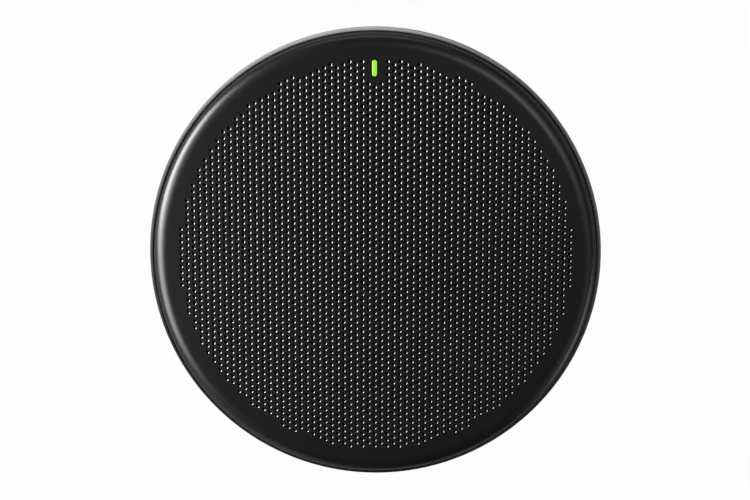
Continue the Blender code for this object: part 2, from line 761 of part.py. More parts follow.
def make_main_board(finish):
    blank = ring(board_inner, board_outer, board_bottom, board_top, RING_SIDES)
    board = add_object("main_board", blank, finish)
    edge = bay_face - BAY_WALL - CLEARANCE
    size = (2 * (bay_half_width + BAY_WALL + CLEARANCE), 2 * LIP_RADIUS, 4 * BOARD_THICKNESS)
    cut(board, block(size, Vector((0.0, edge + LIP_RADIUS, board_bottom))))
    cut(board, *[rod(shank_hole, floor_top, board_top + WALL, around(post_circle, t)) for t in quarter_turns])


def make_network_socket(finish):
    height = piece_bottom + NETWORK_SIZE[2] / 2
    middle = Vector((-NETWORK_SIDE, bay_face - NETWORK_SIZE[1] / 2, height))
    socket = add_object("network_socket", block(NETWORK_SIZE, middle), finish)
    mouth = Vector((-NETWORK_SIDE, bay_face, height))
    cut(socket, block((NETWORK_HOLE[0], 2 * NETWORK_HOLE[1], NETWORK_HOLE[2]), mouth))
    mouth.z += NETWORK_HOLE[2] / 2
    cut(socket, block((NETWORK_TAB[0], 2 * NETWORK_HOLE[1], 2 * NETWORK_TAB[1]), mouth))


def make_usb_socket(finish):
    back = bay_face - USB_SIZE[1]
    height = piece_bottom + USB_SIZE[2] / 2
    socket = add_object("usb_socket", oval_bar(0.0, back, bay_face, height), finish)
    cut(socket, oval_bar(USB_WALL, back + 2 * USB_WALL, bay_face + USB_WALL, height))
    front = bay_face - USB_TONGUE_INSET
    tongue = (USB_SIZE[0] - USB_SIZE[2], front - back - USB_WALL, USB_TONGUE)
    fuse(socket, block(tongue, Vector((USB_SIDE, (front + back + USB_WALL) / 2, height))))


def oval_bar(inset, back, front, height):
    """The small socket's round-sided outline, run along Y."""
    shape = slab(pill(USB_SIZE[2] - 2 * inset, USB_SIZE[0] - 2 * inset), back, front)
    lying = Matrix(((0, 1, 0, USB_SIDE), (0, 0, 1, 0), (1, 0, 0, height), (0, 0, 0, 1)))
    bmesh.ops.transform(shape, matrix=lying, verts=shape.verts)
    return shape


def on_board(name, size, spot, finish, turn=0.0):
    middle = Vector((spot[0], spot[1], piece_bottom + size[2] / 2))
    add_object(name, block(size, middle, turn), finish)


def make_board_pieces(chip, tin, wound, sleeve, connector):
    on_board("signal_processor", PROCESSOR_SIZE, around(board_middle, PROCESSOR_TURN), chip, PROCESSOR_TURN)
    on_board("shield_can", SHIELD_SIZE, around(board_middle, SHIELD_TURN), tin, SHIELD_TURN)
    spot = around(board_middle, TRANSFORMER_TURN)
    on_board("power_transformer", TRANSFORMER_SIZE, spot, wound, TRANSFORMER_TURN)
    for number, turn in enumerate(CAPACITOR_TURNS, 1):
        top = piece_bottom + CAPACITOR_HEIGHT
        can = rod(CAPACITOR_RADIUS, piece_bottom, top, around(board_middle, turn), MEDIUM_SIDES)
        add_object(f"capacitor_{number}", can, sleeve)
    on_board("lead_socket", LEAD_SOCKET, around(board_middle, LEAD_TURN), connector, LEAD_TURN)
    on_board("ribbon_socket", RIBBON_SOCKET, (0.0, -ribbon_circle), connector)


def make_ballast_plate(finish):
    plate = rod(ballast_radius, ballast_bottom, ballast_bottom + BALLAST_THICKNESS, sides=MEDIUM_SIDES)
    add_object("ballast_plate", plate, finish)


# Cables held inside


def along_lead(shape):
    """Lays a shape made along Z so that it runs outwards with the lead from the chamber's inner wall."""
    place = Matrix.Translation(around(chamber_inner, LEAD_TURN, lead_height))
    outwards = Matrix.Rotation(LEAD_TURN, 4, "Z") @ Matrix.Rotation(math.pi / 2, 4, "Y")
    bmesh.ops.transform(shape, matrix=place @ outwards, verts=shape.verts)
    return shape


def make_lead_grommet(finish):
    sleeve = lead_bore + GROMMET_WALL
    step = CHAMBER_WALL + SEAT
    profile = [
        (lead_bore, 0.0),
        (sleeve, 0.0),
        (sleeve, step),
        (sleeve + GROMMET_FLANGE, step),
        (sleeve + GROMMET_FLANGE, step + GROMMET_FLANGE),
        (lead_bore, step + GROMMET_FLANGE),
    ]
    add_object("lead_grommet", along_lead(turned(profile, SMALL_SIDES)), finish)


def make_speaker_lead(finish):
    """From the loudspeaker's terminal, down and out through the chamber's wall, to the board."""
    end = board_middle - LEAD_SOCKET[0] / 2 - SEAT
    route = [
        (terminal_circle, terminal_bottom - SEAT),
        (terminal_circle, terminal_bottom - LEAD_RADIUS),
        (terminal_circle, lead_height + LEAD_BEND),
        (terminal_circle + LEAD_RADIUS, lead_height + LEAD_BEND / 3),
        (chamber_inner - LEAD_RADIUS, lead_height),
        (chamber_outer, lead_height),
        (end - LEAD_BEND, lead_height),
        (end, lead_height),
    ]
    points = smooth_line([around(r, LEAD_TURN, z) for r, z in route], 3)
    data = bpy.data.curves.new("speaker_lead", "CURVE")
    data.dimensions = "3D"
    data.bevel_depth = LEAD_RADIUS
    data.bevel_resolution = 1
    data.use_fill_caps = True
    spline = data.splines.new("POLY")
    spline.points.add(len(points) - 1)
    for place, point in zip(spline.points, points):
        place.co = (*point, 1.0)
    data.materials.append(finish)
    bpy.context.scene.collection.objects.link(bpy.data.objects.new("speaker_lead", data))


def smooth_line(knots, steps):
    """Points of a smooth curve through the knots."""
    ends = [knots[0] * 2 - knots[1], *knots, knots[-1] * 2 - knots[-2]]
    points = []
    for a, b, c, d in zip(ends, ends[1:], ends[2:], ends[3:]):
        for n in range(steps):
            t = n / steps
            square = 2 * a - 5 * b + 4 * c - d
            cube = 3 * b - a - 3 * c + d
            points.append(b + ((c - a) * t + square * t**2 + cube * t**3) / 2)
    return [*points, knots[-1]]


def make_ribbon_cable(finish):
    """A flat cable that falls from the microphone board to the main board in an easy S."""
    top = mic_board_bottom - SEAT - MIC_SOCKET[2] - SEAT
    bottom = piece_bottom + RIBBON_SOCKET[2] + SEAT
    shape = bmesh.new()
    line = []
    for n in range(RIBBON_STEPS + 1):
        share = n / RIBBON_STEPS
        ease = share * share * (3 - 2 * share)
        y = -lens_offset + (lens_offset - ribbon_circle) * ease
        line.append(shape.verts.new((-RIBBON_WIDTH / 2, y, top + (bottom - top) * share)))
    edges = [shape.edges.new(pair) for pair in zip(line, line[1:])]
    wide = bmesh.ops.extrude_edge_only(shape, edges=edges)
    moved = [part for part in wide["geom"] if isinstance(part, bmesh.types.BMVert)]
    bmesh.ops.translate(shape, verts=moved, vec=(RIBBON_WIDTH, 0, 0))
    ribbon = add_object("ribbon_cable", shape, finish)
    thick = ribbon.modifiers.new("thickness", "SOLIDIFY")
    thick.thickness = RIBBON_THICKNESS
    thick.offset = 0.0


# Reset button and screws


def make_reset(button_finish, switch_finish):
    spot = (0.0, -reset_circle)
    socket_top = switch_bottom + RESET_SOCKET_DEPTH
    middle = Vector((*spot, (switch_bottom + switch_top) / 2))
    switch = add_object("reset_switch", block(RESET_SWITCH, middle), switch_finish)
    cut(switch, rod(RESET_STEM + CLEARANCE, switch_bottom - WALL, socket_top, spot))
    stem_bottom = floor_bottom + RESET_RECESS
    stem_top = socket_top - RESET_TRAVEL - CLEARANCE
    profile = [
        (0.0, stem_bottom),
        (RESET_STEM, stem_bottom),
        (RESET_STEM, reset_collar_bottom),
        (RESET_COLLAR, reset_collar_bottom),
        (RESET_COLLAR, reset_collar_top),
        (RESET_STEM, reset_collar_top),
        (RESET_STEM, stem_top),
        (0.0, stem_top),
    ]
    button = add_object("reset_button", turned(profile, SMALL_SIDES), button_finish)
    button.location = (*spot, 0.0)


def make_screws(finish):
    rows = [
        ("baffle_screw", baffle_screw_circle, baffle_top, BAFFLE_SCREW_LENGTH),
        ("board_screw", post_circle, board_top, BOARD_SCREW_LENGTH),
    ]
    for number, turn in enumerate(quarter_turns, 1):
        for name, circle, seat, length in rows:
            screw(f"{name}_{number}", finish, around(circle, turn), seat, length, SCREW_SHANK, SCREW_HEAD)
        screw(
            f"driver_screw_{number}",
            finish,
            around(driver_screw_circle, turn),
            flange_bottom,
            DRIVER_SCREW_LENGTH,
            DRIVER_SCREW_SHANK,
            DRIVER_SCREW_HEAD,
            points_up=True,
        )


def main():
    clear_scene()
    black_paint = finish_of("satin_black_paint", (0.012, 0.012, 0.012), 0.35, 0.3)
    black_plastic = finish_of("black_plastic", (0.016, 0.016, 0.017), 0.55)
    grey_plastic = finish_of("grey_plastic", (0.06, 0.06, 0.065), 0.6)
    green_light = finish_of("green_light", (0.32, 0.78, 0.03), 0.25)
    pale_plastic = finish_of("pale_plastic", (0.8, 0.8, 0.75), 0.5)
    rubber = finish_of("rubber", (0.02, 0.02, 0.02), 0.85)
    foam = finish_of("foam", (0.03, 0.03, 0.03), 0.95)
    cloth = finish_of("cloth", (0.008, 0.008, 0.008), 0.95)
    board_green = finish_of("circuit_board", (0.01, 0.12, 0.05), 0.45)
    steel = finish_of("steel", (0.55, 0.55, 0.56), 0.35, 1.0)
    dark_steel = finish_of("dark_steel", (0.18, 0.18, 0.19), 0.4, 1.0)
    ferrite = finish_of("ferrite", (0.05, 0.05, 0.052), 0.7)
    paper = finish_of("paper_cone", (0.03, 0.03, 0.03), 0.8)
    copper = finish_of("copper_winding", (0.7, 0.32, 0.15), 0.35, 1.0)
    amber = finish_of("amber_cloth", (0.55, 0.36, 0.12), 0.85)
    white_film = finish_of("white_film", (0.8, 0.8, 0.8), 0.4)
    aluminium = finish_of("aluminium", (0.7, 0.7, 0.72), 0.3, 1.0)

    make_top_grille(black_paint)
    make_dust_cloth(cloth)
    make_status_light(green_light, pale_plastic)
    make_base_housing(black_plastic)
    make_foot_ring(rubber)
    make_baffle(grey_plastic)
    make_mic_ring(board_green, steel, rubber, pale_plastic)
    make_driver_basket(dark_steel)
    make_driver_surround(rubber)
    make_driver_cone(paper, copper)
    make_driver_spider(amber)
    make_magnet_system(steel, ferrite)
    make_driver_seals(foam, pale_plastic)
    make_speaker_chamber(grey_plastic)
    make_main_board(board_green)
    make_network_socket(steel)
    make_usb_socket(steel)
    make_board_pieces(ferrite, steel, amber, aluminium, pale_plastic)
    make_ballast_plate(steel)
    make_lead_grommet(rubber)
    make_speaker_lead(rubber)
    make_ribbon_cable(white_film)
    make_reset(grey_plastic, ferrite)
    make_screws(dark_steel)


main()
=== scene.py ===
import json
import math

import bmesh
import bpy
import numpy as np
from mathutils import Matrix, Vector


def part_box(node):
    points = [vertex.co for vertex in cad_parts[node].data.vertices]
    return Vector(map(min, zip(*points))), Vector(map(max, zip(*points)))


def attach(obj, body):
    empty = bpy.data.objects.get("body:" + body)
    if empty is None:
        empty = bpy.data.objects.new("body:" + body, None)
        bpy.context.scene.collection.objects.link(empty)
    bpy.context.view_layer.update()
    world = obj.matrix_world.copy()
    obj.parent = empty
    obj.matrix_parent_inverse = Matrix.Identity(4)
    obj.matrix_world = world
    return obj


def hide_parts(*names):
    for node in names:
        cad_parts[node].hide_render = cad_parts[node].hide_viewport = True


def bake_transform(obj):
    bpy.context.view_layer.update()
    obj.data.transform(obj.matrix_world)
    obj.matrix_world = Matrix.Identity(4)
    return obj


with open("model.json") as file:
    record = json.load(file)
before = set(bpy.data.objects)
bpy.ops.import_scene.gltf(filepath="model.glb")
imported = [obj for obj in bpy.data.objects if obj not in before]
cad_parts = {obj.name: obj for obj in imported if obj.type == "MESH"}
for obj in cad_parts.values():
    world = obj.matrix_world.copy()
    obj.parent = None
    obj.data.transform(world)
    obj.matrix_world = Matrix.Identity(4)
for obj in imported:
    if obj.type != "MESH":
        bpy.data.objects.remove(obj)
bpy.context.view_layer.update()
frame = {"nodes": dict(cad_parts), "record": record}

mm = 0.001
tiny = 0.01 * mm
weld = 0.004 * mm
fullTurn = math.tau
lensLow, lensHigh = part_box("status_lens")
lensMiddle = (lensLow.y + lensHigh.y) / 2


# Small helpers

def freshStart():
    if bpy.context.mode != "OBJECT":
        bpy.ops.object.mode_set(mode="OBJECT")
    bpy.ops.object.select_all(action="DESELECT")


def editOn(piece, mode="EDGE"):
    freshStart()
    bpy.context.view_layer.objects.active = piece
    piece.select_set(True)
    bpy.ops.object.mode_set(mode="EDIT")
    bpy.ops.mesh.select_mode(type=mode)


def editOff():
    bpy.ops.object.mode_set(mode="OBJECT")


def pick(kind, test):
    # selects the points, edges or faces that pass, and nothing else
    bpy.ops.mesh.select_mode(type={"verts": "VERT", "edges": "EDGE", "faces": "FACE"}[kind])
    bpy.ops.mesh.select_all(action="DESELECT")
    shape = bmesh.from_edit_mesh(bpy.context.edit_object.data)
    for part in getattr(shape, kind):
        if test(part):
            part.select_set(True)
    shape.select_flush_mode()
    bmesh.update_edit_mesh(bpy.context.edit_object.data)


def pickAll():
    bpy.ops.mesh.select_all(action="SELECT")


def middleOf(edge):
    return (edge.verts[0].co + edge.verts[1].co) / 2


def runOf(edge):
    return (edge.verts[0].co - edge.verts[1].co).normalized()


def reach(point):
    return math.hypot(point.x, point.y)


def atHeight(edge, height):
    return all(abs(v.co.z - height) < tiny for v in edge.verts)


def onCircle(edge, radius):
    return all(abs(reach(v.co) - radius) < tiny for v in edge.verts)


def pullOut(move, grow=1.0, centre=(0.0, 0.0, 0.0)):
    # extrudes what is selected, moves it and draws it in or out about a centre
    bpy.ops.mesh.extrude_region_move(TRANSFORM_OT_translate={"value": move})
    if grow != 1.0:
        bpy.ops.transform.resize(value=(grow, grow, 1.0), center_override=centre)


def moveAll(piece, move):
    editOn(piece, "VERT")
    pickAll()
    bpy.ops.transform.translate(value=move)
    editOff()


def cleanUp(piece, smoothBelow=35):
    editOn(piece, "VERT")
    pickAll()
    bpy.ops.mesh.remove_doubles(threshold=weld)
    bpy.ops.mesh.normals_make_consistent(inside=False)
    editOff()
    bpy.ops.object.shade_smooth_by_angle(angle=math.radians(smoothBelow))
    return piece


def settle(name):
    # names the new piece and puts its place and size into its mesh
    piece = bpy.context.object
    piece.name = name
    bpy.ops.object.transform_apply(location=True, rotation=True, scale=True)
    return piece


def drawLine(name, points):
    # one point, extruded from place to place along a profile of (radius, height)
    freshStart()
    bpy.ops.mesh.primitive_plane_add(size=mm)
    piece = settle(name)
    editOn(piece, "VERT")
    pickAll()
    bpy.ops.mesh.merge(type="CENTER")
    bpy.ops.transform.translate(value=(points[0][0], 0.0, points[0][1]))
    for (r0, z0), (r1, z1) in zip(points, points[1:]):
        pullOut((r1 - r0, 0.0, z1 - z0))
    return piece


def turn(name, points, sides, smoothBelow=35):
    # a profile spun about the axis
    piece = drawLine(name, points)
    pickAll()
    bpy.ops.mesh.spin(steps=sides, angle=fullTurn, center=(0, 0, 0), axis=(0, 0, 1))
    return cleanUp(piece, smoothBelow)


def curve(middle, across, up, start, end, steps):
    turns = [math.radians(start + (end - start) * n / steps) for n in range(steps + 1)]
    return [(middle[0] + across * math.cos(t), middle[1] + up * math.sin(t)) for t in turns]


def roundedRing(inner, outer, low, high, edge, steps=4):
    # the closed section of a ring with rounded corners
    line = curve((inner + edge, low + edge), edge, edge, 180, 270, steps)
    line += curve((outer - edge, low + edge), edge, edge, 270, 360, steps)
    line += curve((outer - edge, high - edge), edge, edge, 0, 90, steps)
    line += curve((inner + edge, high - edge), edge, edge, 90, 180, steps)
    return line + line[:1]


def addBlock(name, low, high, corner=0.0, along="z"):
    # a box between two corners, its edges along one axis rounded
    freshStart()
    middle = [(a + b) / 2 for a, b in zip(low, high)]
    bpy.ops.mesh.primitive_cube_add(size=1.0, location=middle, scale=[b - a for a, b in zip(low, high)])
    piece = settle(name)
    if corner:
        editOn(piece, "EDGE")
        pick("edges", lambda e: abs(getattr(runOf(e), along)) > 0.9)
        bpy.ops.mesh.bevel(offset=corner, segments=5, profile=0.5, affect="EDGES")
        editOff()
    return piece


def addRod(name, radius, bottom, top, spot, sides=32):
    freshStart()
    middle = (*spot, (bottom + top) / 2)
    bpy.ops.mesh.primitive_cylinder_add(vertices=sides, radius=radius, depth=top - bottom, location=middle)
    return settle(name)


def addPill(width, length, height, sides):
    # a ring of points at the light's place, its two halves drawn apart
    step = fullTurn / sides
    spot = (0.0, lensMiddle, height)
    bpy.ops.mesh.primitive_circle_add(vertices=sides, radius=width / 2, location=spot)
    bpy.ops.transform.rotate(value=step / 2, orient_axis="Z", center_override=spot)
    shape = bmesh.from_edit_mesh(bpy.context.edit_object.data)
    for v in shape.verts:
        if v.select:
            v.co.y += math.copysign((length - width) / 2, v.co.y - lensMiddle)
    bmesh.update_edit_mesh(bpy.context.edit_object.data)


def lightOpening(lens):
    return lens["width"] + 2 * lens["gap"], lens["length"] + 2 * lens["gap"]


def pillBlock(name, width, length, bottom, top, sides):
    freshStart()
    bpy.ops.mesh.primitive_plane_add(size=mm)
    piece = settle(name)
    editOn(piece, "VERT")
    pickAll()
    bpy.ops.mesh.delete(type="VERT")
    addPill(width, length, bottom, sides)
    bpy.ops.mesh.edge_face_add()
    pullOut((0.0, 0.0, top - bottom))
    editOff()
    return cleanUp(piece)


def joinAll(pieces):
    freshStart()
    for piece in pieces:
        piece.select_set(True)
    bpy.context.view_layer.objects.active = pieces[0]
    bpy.ops.object.join()
    return pieces[0]


def middleXY(node):
    low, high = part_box(node)
    return (low.x + high.x) / 2, (low.y + high.y) / 2


def applyModifier(piece, kind, **settings):
    freshStart()
    bpy.context.view_layer.objects.active = piece
    piece.select_set(True)
    step = piece.modifiers.new(kind.lower(), kind)
    for key, value in settings.items():
        setattr(step, key, value)
    bpy.ops.object.modifier_apply(modifier=step.name)


def repeat(piece, count, move):
    applyModifier(
        piece,
        "ARRAY",
        count=count,
        use_relative_offset=False,
        use_constant_offset=True,
        constant_offset_displace=move,
    )


def cutWith(piece, cutter, operation="DIFFERENCE"):
    applyModifier(piece, "BOOLEAN", operation=operation, object=cutter, solver="EXACT")
    bpy.data.objects.remove(cutter)


def paint(piece, *names):
    piece.data.materials.clear()
    for name in names:
        piece.data.materials.append(finishes[name])


def paintFaces(piece, index, test):
    # gives the faces that pass another of the piece's finishes
    editOn(piece, "FACE")
    pick("faces", test)
    piece.active_material_index = index
    bpy.ops.object.material_slot_assign()
    editOff()


def place(piece, body, slotName, *nodes):
    # a piece that flexes is given no body and rides on none
    if body:
        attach(piece, body)
    if nodes:
        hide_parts(*nodes)
    print("made", piece.name, len(piece.data.polygons), "faces")


# Finishes

def feed(node, sockets):
    # links another node's output to a socket, or sets the socket to a plain value
    for name, value in sockets.items():
        if isinstance(value, bpy.types.NodeSocket):
            node.id_data.links.new(value, node.inputs[name])
        else:
            node.inputs[name].default_value = value


def addNode(tree, kind, sockets={}, **settings):
    node = tree.nodes.new(kind)
    for key, value in settings.items():
        setattr(node, key, value)
    feed(node, sockets)
    return node


def newFinish(name):
    finish = bpy.data.materials.new(name)
    finish.use_nodes = True
    tree = finish.node_tree
    return finish, tree, tree.nodes["Principled BSDF"]


def objectPlace(tree, scale=(1.0, 1.0, 1.0)):
    where = addNode(tree, "ShaderNodeTexCoord")
    mapping = addNode(tree, "ShaderNodeMapping", {"Vector": where.outputs["Object"], "Scale": scale})
    return mapping.outputs["Vector"]


def calculate(tree, operation, *values):
    node = addNode(tree, "ShaderNodeMath", dict(enumerate(values)), operation=operation)
    return node.outputs[0]


def noiseOn(tree, spot, scale, detail=3.0):
    noise = addNode(tree, "ShaderNodeTexNoise", {"Vector": spot, "Scale": scale, "Detail": detail})
    return noise.outputs["Fac"]


def bandsOn(tree, spot, axis, period):
    # the wave node turns through 20 radians for each unit of its scale
    sockets = {"Vector": spot, "Scale": fullTurn / 20 / period}
    return addNode(tree, "ShaderNodeTexWave", sockets, bands_direction=axis).outputs["Fac"]


def between(tree, value, low, high, start=0.0, end=1.0, **settings):
    # a value that runs from start to end, spread from low to high
    sockets = {"Value": value, "From Min": start, "From Max": end, "To Min": low, "To Max": high}
    return addNode(tree, "ShaderNodeMapRange", sockets, **settings).outputs["Result"]


def acrossPiece(tree, spot, half):
    # 0 at one side of the piece and 1 at the other, along X
    parts = addNode(tree, "ShaderNodeSeparateXYZ", {"Vector": spot})
    return between(tree, parts.outputs["X"], 0.0, 1.0, -half, half)


def tones(tree, value, *stops):
    # colours at their places between 0 and 1, the first and the last at the ends of the row
    ramp = addNode(tree, "ShaderNodeValToRGB", {"Fac": value})
    marks = ramp.color_ramp.elements
    for mark, (spot, tone) in zip(list(marks), (stops[0], stops[-1])):
        mark.position = spot
        mark.color = (*tone, 1.0)
    for spot, tone in stops[1:-1]:
        marks.new(spot).color = (*tone, 1.0)
    return ramp.outputs["Color"]


def raised(tree, shader, height, strength, depth):
    bump = addNode(tree, "ShaderNodeBump", {"Height": height, "Strength": strength, "Distance": depth})
    feed(shader, {"Normal": bump.outputs["Normal"]})


def grey(level):
    return (level, level, 1.02 * level)


def grainyFinish(name, dark, light, rough, patch, grain, strength, shine=0.5):
    # soft patches of two tones, with a fine grain for the gloss and the bump
    finish, tree, shader = newFinish(name)
    where = objectPlace(tree)
    fine = noiseOn(tree, where, grain, 2.0)
    patches = noiseOn(tree, where, patch, 4.0)
    feed(shader, {
        "Base Color": tones(tree, patches, (0.3, dark), (0.7, light)),
        "Roughness": between(tree, fine, *rough),
        "Specular IOR Level": shine,
    })
    raised(tree, shader, fine, strength, 0.03 * mm)
    return finish


def brushedFinish(name, dark, light, rough):
    # metal with fine streaks along X
    finish, tree, shader = newFinish(name)
    streaks = noiseOn(tree, objectPlace(tree, (60.0, 2200.0, 2200.0)), 1.0)
    feed(shader, {
        "Base Color": tones(tree, streaks, (0.3, dark), (0.7, light)),
        "Roughness": between(tree, streaks, *rough),
        "Metallic": 1.0,
    })
    raised(tree, shader, streaks, 0.04, 0.01 * mm)
    return finish


def bandedFinish(name, dark, light, rough, axis, period, metal):
    # wire turns paler on their crowns and darker between them as painted highlight and shade, or printed
    # lines side by side
    finish, tree, shader = newFinish(name)
    where = objectPlace(tree)
    lines = bandsOn(tree, where, axis, period)
    feed(shader, {
        "Base Color": tones(tree, lines, (0.1, dark), (0.5, light)),
        "Roughness": between(tree, noiseOn(tree, where, 1500), *rough),
        "Metallic": metal,
    })
    raised(tree, shader, lines, 0.5, period / 4)
    return finish


def wovenFinish(name, dark, light, rough, thread):
    # threads that cross, palest where both lie on top as a painted highlight, darker between them as painted
    # shade
    finish, tree, shader = newFinish(name)
    where = objectPlace(tree)
    crossed = calculate(tree, "MULTIPLY", *[bandsOn(tree, where, axis, thread) for axis in "XY"])
    feed(shader, {
        "Base Color": tones(tree, crossed, (0.05, dark), (0.8, light)),
        "Roughness": between(tree, noiseOn(tree, where, 2500), *rough),
    })
    raised(tree, shader, crossed, 0.6, thread / 3)
    return finish


def boardFinish(name, spec):
    # lacquer over copper tracks, with tinned dots where holes go through
    finish, tree, shader = newFinish(name)
    where = objectPlace(tree)
    tracks = addNode(tree, "ShaderNodeTexBrick", {
        "Vector": where,
        "Scale": spec["tracks"],
        "Color1": (*spec["dark"], 1.0),
        "Color2": (*spec["light"], 1.0),
        "Mortar": (*spec["track"], 1.0),
        "Mortar Size": spec["trackWidth"],
        "Brick Width": spec["trackLength"],
        "Row Height": spec["trackPitch"],
    })
    dots = addNode(tree, "ShaderNodeTexVoronoi", {"Vector": where, "Scale": spec["dots"]})
    inside = calculate(tree, "LESS_THAN", dots.outputs["Distance"], spec["dotSize"])
    tinned = {"Factor": inside, 6: tracks.outputs["Color"], 7: (*spec["tin"], 1.0)}
    feed(shader, {
        "Base Color": addNode(tree, "ShaderNodeMix", tinned, data_type="RGBA").outputs[2],
        "Metallic": inside,
        "Roughness": between(tree, noiseOn(tree, where, spec["haze"]), *spec["rough"]),
    })
    raised(tree, shader, tracks.outputs["Fac"], 0.3, 0.03 * mm)
    return finish


def lensFinish(name, spec):
    # lit from below, with a painted highlight along one long side and painted shade along the other
    finish, tree, shader = newFinish(name)
    where = addNode(tree, "ShaderNodeTexCoord").outputs["Object"]
    across = acrossPiece(tree, where, spec["width"] / 2)
    feed(shader, {
        "Emission Color": tones(tree, across, *spec["glow"]),
        "Emission Strength": 1.0,
        "Base Color": (*spec["unlit"], 1.0),
        "Roughness": between(tree, noiseOn(tree, where, spec["haze"]), *spec["rough"]),
    })
    return finish


def lipPaintedLightFinish(name, spec):
    # black plastic whose edge is painted pale as a painted highlight, most of all on one side of the ring
    finish, tree, shader = newFinish(name)
    where = addNode(tree, "ShaderNodeTexCoord").outputs["Object"]
    turned = {"Vector": where, "Rotation": (0.0, 0.0, spec["towards"])}
    mapping = addNode(tree, "ShaderNodeMapping", turned, vector_type="TEXTURE")
    across = acrossPiece(tree, mapping.outputs["Vector"], spec["radius"])
    patches = noiseOn(tree, where, spec["patch"])
    paintedLight = calculate(tree, "ADD", across, between(tree, patches, -spec["uneven"], spec["uneven"]))
    feed(shader, {
        "Base Color": tones(tree, paintedLight, *spec["tones"]),
        "Roughness": between(tree, patches, *spec["rough"]),
        "Specular IOR Level": spec["shine"],
    })
    return finish


# painted highlight on the lip: pale tones graded towards one side, with random patches
lipPaintedLightSpec = {
    "towards": math.radians(60),
    "radius": 73.0 * mm,
    "tones": ((0.1, grey(0.008)), (0.5, grey(0.09)), (0.95, grey(0.29))),  # the side painted lightest is last
    "rough": (0.55, 0.70),
    "shine": 0.12,
    "patch": 180.0,
    "uneven": 0.06,
}

litGreen = (0.33, 0.81, 0.012)
lensSpec = {
    "width": 1.5 * mm,
    "length": 5.1 * mm,
    "gap": 0.55 * mm,
    "shoulder": 1.0 * mm,
    "shoulderHeight": 1.2 * mm,
    "shoulderDrop": 0.15 * mm,
    "endSides": 24,
    "edgeRound": 0.25 * mm,
    # glow across the lens: painted highlight at one long side, painted shade at the other
    "glow": ((0.1, (0.57, 1.0, 0.20)), (0.32, litGreen), (0.72, litGreen), (0.92, (0.37, 0.70, 0.07))),
    "unlit": (0.02, 0.05, 0.01),
    "haze": 900.0,
    "rough": (0.2, 0.3),
}

boardSpec = {
    "dark": (0.006, 0.075, 0.03),
    "light": (0.008, 0.095, 0.04),
    "track": (0.012, 0.13, 0.052),
    "tin": (0.6, 0.6, 0.58),
    "tracks": 90.0,
    "trackWidth": 0.018,
    "trackLength": 1.7,
    "trackPitch": 0.11,
    "dots": 260.0,
    "dotSize": 0.1,
    "haze": 900.0,
    "rough": (0.25, 0.4),
}

# darker and lighter tone, roughness, size of the patches and of the grain, strength of the bump, shine
grainyFinishes = {
    "satinBlackPaint": (grey(0.0034), grey(0.0042), (0.29, 0.34), 60, 2600, 0.03),
    # the hole mouths' paint is a shade darker than the flats' as painted shade in the holes; its gloss and
    # shine are the punched edge's own
    "punchedEdgeWithPaintedShade": (grey(0.002), grey(0.003), (0.08, 0.11), 60, 2600, 0.01, 1.0),
    "mouldedBlackPlastic": (grey(0.010), grey(0.014), (0.42, 0.52), 40, 1800, 0.25),
    "footRubber": (grey(0.012), grey(0.020), (0.70, 0.85), 90, 1200, 0.5),
    "greyMoulding": (grey(0.052), grey(0.066), (0.45, 0.55), 50, 1500, 0.2),
    "chipMoulding": (grey(0.024), grey(0.034), (0.50, 0.62), 200, 3000, 0.3),
    "paleMoulding": ((0.72, 0.71, 0.66), (0.80, 0.79, 0.74), (0.40, 0.50), 120, 2000, 0.1),
    "softFoam": (grey(0.018), grey(0.040), (0.85, 0.95), 700, 1600, 0.9),
    "sinteredFerrite": (grey(0.040), grey(0.060), (0.60, 0.75), 300, 1800, 0.4),
    "pressedPulp": (grey(0.020), grey(0.042), (0.75, 0.90), 400, 1300, 0.7),
}
brushedFinishes = {
    "platedSteel": (grey(0.52), grey(0.60), (0.26, 0.38)),
    "blackenedSteel": (grey(0.15), grey(0.20), (0.32, 0.42)),
    "satinAluminium": (grey(0.62), grey(0.74), (0.25, 0.38)),
    "goldContact": ((0.72, 0.48, 0.16), (0.86, 0.62, 0.25), (0.15, 0.26)),
}
bandedFinishes = {
    "copperWinding": ((0.34, 0.12, 0.05), (0.72, 0.33, 0.16), (0.22, 0.35), "Z", 0.25 * mm, 1.0),
    "whiteFilm": ((0.45, 0.45, 0.46), (0.80, 0.80, 0.80), (0.30, 0.45), "X", 1.0 * mm, 0.0),
}
wovenFinishes = {
    "blackWeave": (grey(0.003), grey(0.012), (0.80, 0.95), 0.35 * mm),
    "amberWeave": ((0.30, 0.17, 0.04), (0.60, 0.40, 0.14), (0.65, 0.80), 0.4 * mm),
}
makers = (
    (grainyFinish, grainyFinishes),
    (brushedFinish, brushedFinishes),
    (bandedFinish, bandedFinishes),
    (wovenFinish, wovenFinishes),
)
finishes = {name: maker(name, *row) for maker, rows in makers for name, row in rows.items()}
finishes["greenBoard"] = boardFinish("greenBoard", boardSpec)
finishes["litGreenLens"] = lensFinish("litGreenLens", lensSpec)
finishes["lipPaintedLight"] = lipPaintedLightFinish("lipPaintedLight", lipPaintedLightSpec)
print("mixed", len(finishes), "finishes")


# Camera, floor and light

camera = {
    "place": (0.00910, 0.06624, 0.48403),
    "turn": (-8.145, 1.148, 0.031),  # degrees
    "lens": 67.78,
    "sensor": 36.0,
    "nearest": 0.01,
}

freshStart()
bpy.ops.object.camera_add(location=camera["place"], rotation=[math.radians(a) for a in camera["turn"]])
eye = bpy.context.object
eye.data.lens = camera["lens"]
eye.data.sensor_width = camera["sensor"]
eye.data.clip_start = camera["nearest"]
bpy.context.scene.camera = eye
bpy.context.scene.view_settings.view_transform = "Standard"

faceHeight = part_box("top_grille")[1].z

